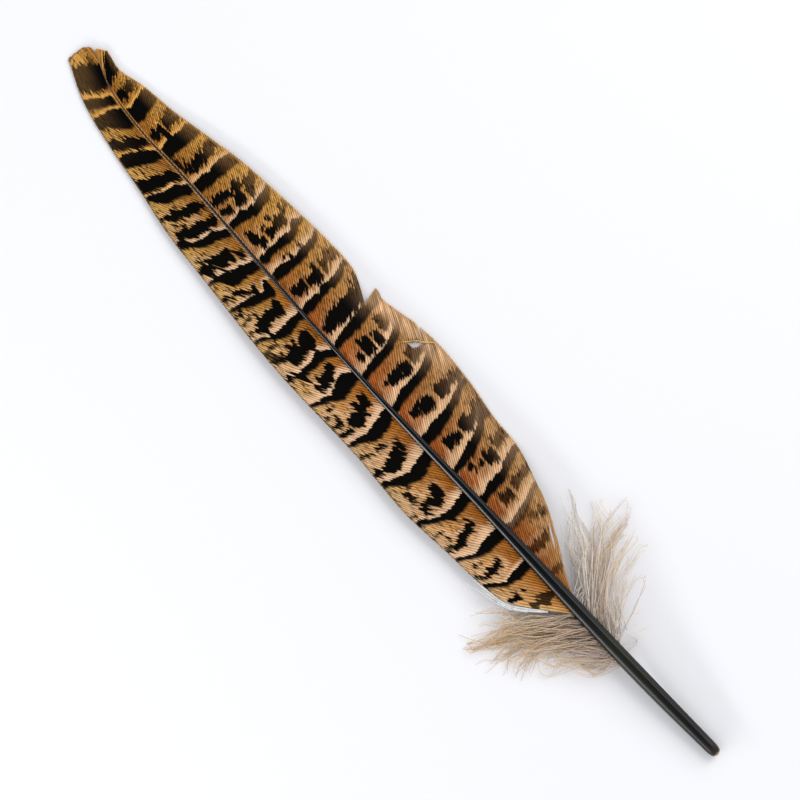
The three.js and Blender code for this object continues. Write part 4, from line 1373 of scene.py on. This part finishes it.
def make_tuft(name, side, reach, wisps, in_lock, thin, paler, seed):
    chance = np.random.default_rng(seed)
    paths, gold, tint = [], [], []
    for locks, gilt, root, places in wisps:
        for _ in range(locks):
            spots = np.array([(root, 0), *places], float)
            spots = spots + chance.normal(0, 1, spots.shape) * LOCK_WANDER
            end = chance.uniform(0.72, 1.15)
            loft = chance.uniform(0, 1)
            # Painted shade: strands that lie lower in the tuft get a darker tint, higher ones a lighter
            # one.
            shade = 1.5 * (loft - 0.5) + chance.normal(0, 0.7)
            for _ in range(in_lock):
                own = spots + chance.normal(0, 1, spots.shape) * STRAND_WANDER
                own_loft = np.clip(loft + chance.normal(0, 0.12), 0, 1)
                own_end = min(end * chance.uniform(0.6, 1.0), 1)
                paths.append(strand_path(side, reach, own, own_end, own_loft, chance))
                gold.append(gilt * chance.uniform(0.5, 1.0))
                tint.append(shade + chance.normal(0, 0.6))
    radii = thin * chance.uniform(0.1, 0.16, len(paths))
    mesh, number = made_strands(name, paths, radii, chance, BARBULES, BARBULE_LENGTH)
    set_attribute(mesh, "gold", np.array(gold)[number])
    set_attribute(mesh, "tint", np.array(tint)[number])
    set_attribute(mesh, "paler", np.full(len(number), paler))
    finished(mesh, name, soft_down)
    print(name, "has", len(paths), "strands")


# %% [markdown]
# ## The colour of the down
#
# Down is a grey beige, palest before the tips and painted darkest at the root, as painted shade where
# strands crowd and shade each other. The right tuft is paler and greyer than the left. Some wisps end
# in gold. The colour follows each strand from root to tip, and every strand has its own tint, with
# higher strands painted lighter, as painted shade on the lower ones.

# %% Finish for the down, and both tufts
BARBULES = 12
BARBULE_LENGTH = 0.85

fluff = Finish("soft_down", 0.85, 0.1)
fluff.shader.inputs["Sheen Weight"].default_value = 0.35
fluff.shader.inputs["Sheen Roughness"].default_value = 0.4
to_tip = fluff.attribute("share")
# Painted shade: every colour here is darkest at the root, where strands crowd.
taupe = fluff.colours(to_tip, [
    (0.0, linear(172, 148, 128)), (0.2, linear(206, 180, 158)), (0.5, linear(226, 204, 178)),
    (0.75, linear(226, 200, 166)), (1.0, linear(214, 182, 140)),
])
silver = fluff.colours(to_tip, [
    (0.0, linear(206, 192, 180)), (0.2, linear(230, 219, 208)), (0.5, linear(241, 232, 222)),
    (0.75, linear(238, 226, 210)), (1.0, linear(222, 200, 172)),
])
gilded = fluff.colours(to_tip, [
    (0.0, linear(176, 152, 132)), (0.3, linear(212, 184, 152)), (0.65, linear(228, 192, 140)),
    (1.0, linear(214, 166, 98)),
])
shade = fluff.blend(fluff.attribute("paler"), taupe, silver)
shade = fluff.blend(fluff.attribute("gold"), shade, gilded)
# The tint holds each strand's own tone and a painted shade that darkens the lower strands.
vary = fluff.maths("MULTIPLY_ADD", fluff.attribute("tint"), 0.09, 0.96)
vary = fluff.maths("MULTIPLY", vary, fluff.ramp(fluff.noise((8, 30)), 0.3, 0.7, 0.86, 1.08))
fluff.link("Base Color", fluff.lit(shade, vary))
soft_down = fluff.material

make_tuft("left_down", -1, 28.0, LEFT_WISPS, in_lock=4, thin=0.76, paler=0.15, seed=21)
make_tuft("right_down", 1, 29.6, RIGHT_WISPS, in_lock=3, thin=0.68, paler=0.9, seed=22)

# %% [markdown]
# ## Loose and broken barbs
#
# Two broken barbs, bleached to gold, lie across the hole in the right vane, and a third by the nick
# in its margin. Along the left vane's foot the last barbs have come away from the sheet and turned
# their pale undersides up. They are strands too, without barbules, so the same helpers make them.

# %% Loose barbs
CLEAR_OF_VANE = 0.1


def loose_barb(vane, places):
    """A path over a vane through places (along, out)."""
    _, along, out = steps_along(np.array(places, float))
    return place(along, vane["side"] * out, vane_top(vane, along, out) + CLEAR_OF_VANE)


def plain_barb(name, colour):
    barb = Finish(name, 0.5, 0.2)
    barb.link("Base Color", barb.lit(colour, barb.ramp(barb.noise((14, 3)), 0.3, 0.7, 0.8, 1.1)))
    return barb.material


left = VANES["left_vane"]
chance = np.random.default_rng(31)
broken, _ = made_strands("broken_barbs", [
    loose_barb(right, [(120.2, 18.8), (121.7, 17.3), (123.6, 15.8), (125.8, 12.9)]),
    loose_barb(right, [(121.6, 17.8), (122.4, 16.2), (123.2, 14.9), (125.2, 13.6)]),
    loose_barb(right, [(125.8, 18.3), (127.3, 18.6), (128.3, 18.7)]),
], [0.2, 0.14, 0.14], chance)
finished(broken, None, plain_barb("bleached_barb", linear(232, 194, 120)))
rim, _ = made_strands("pale_rim", [
    loose_barb(left, [(53.7, 5.6), (57.4, 9.2), (60.8, 11.7), (64, 12.9), (68.5, 13.8)]),
    loose_barb(left, [(54.6, 6.3), (57.9, 9.0), (61.4, 11.6), (65, 12.6), (72, 13.7)]),
    loose_barb(left, [(57, 9.3), (60.5, 12.0), (63.9, 13.4), (68.6, 14.5), (73.9, 16.2)]),
], [0.32, 0.26, 0.16], chance)
finished(rim, None, plain_barb("pale_barb", linear(226, 226, 226)))
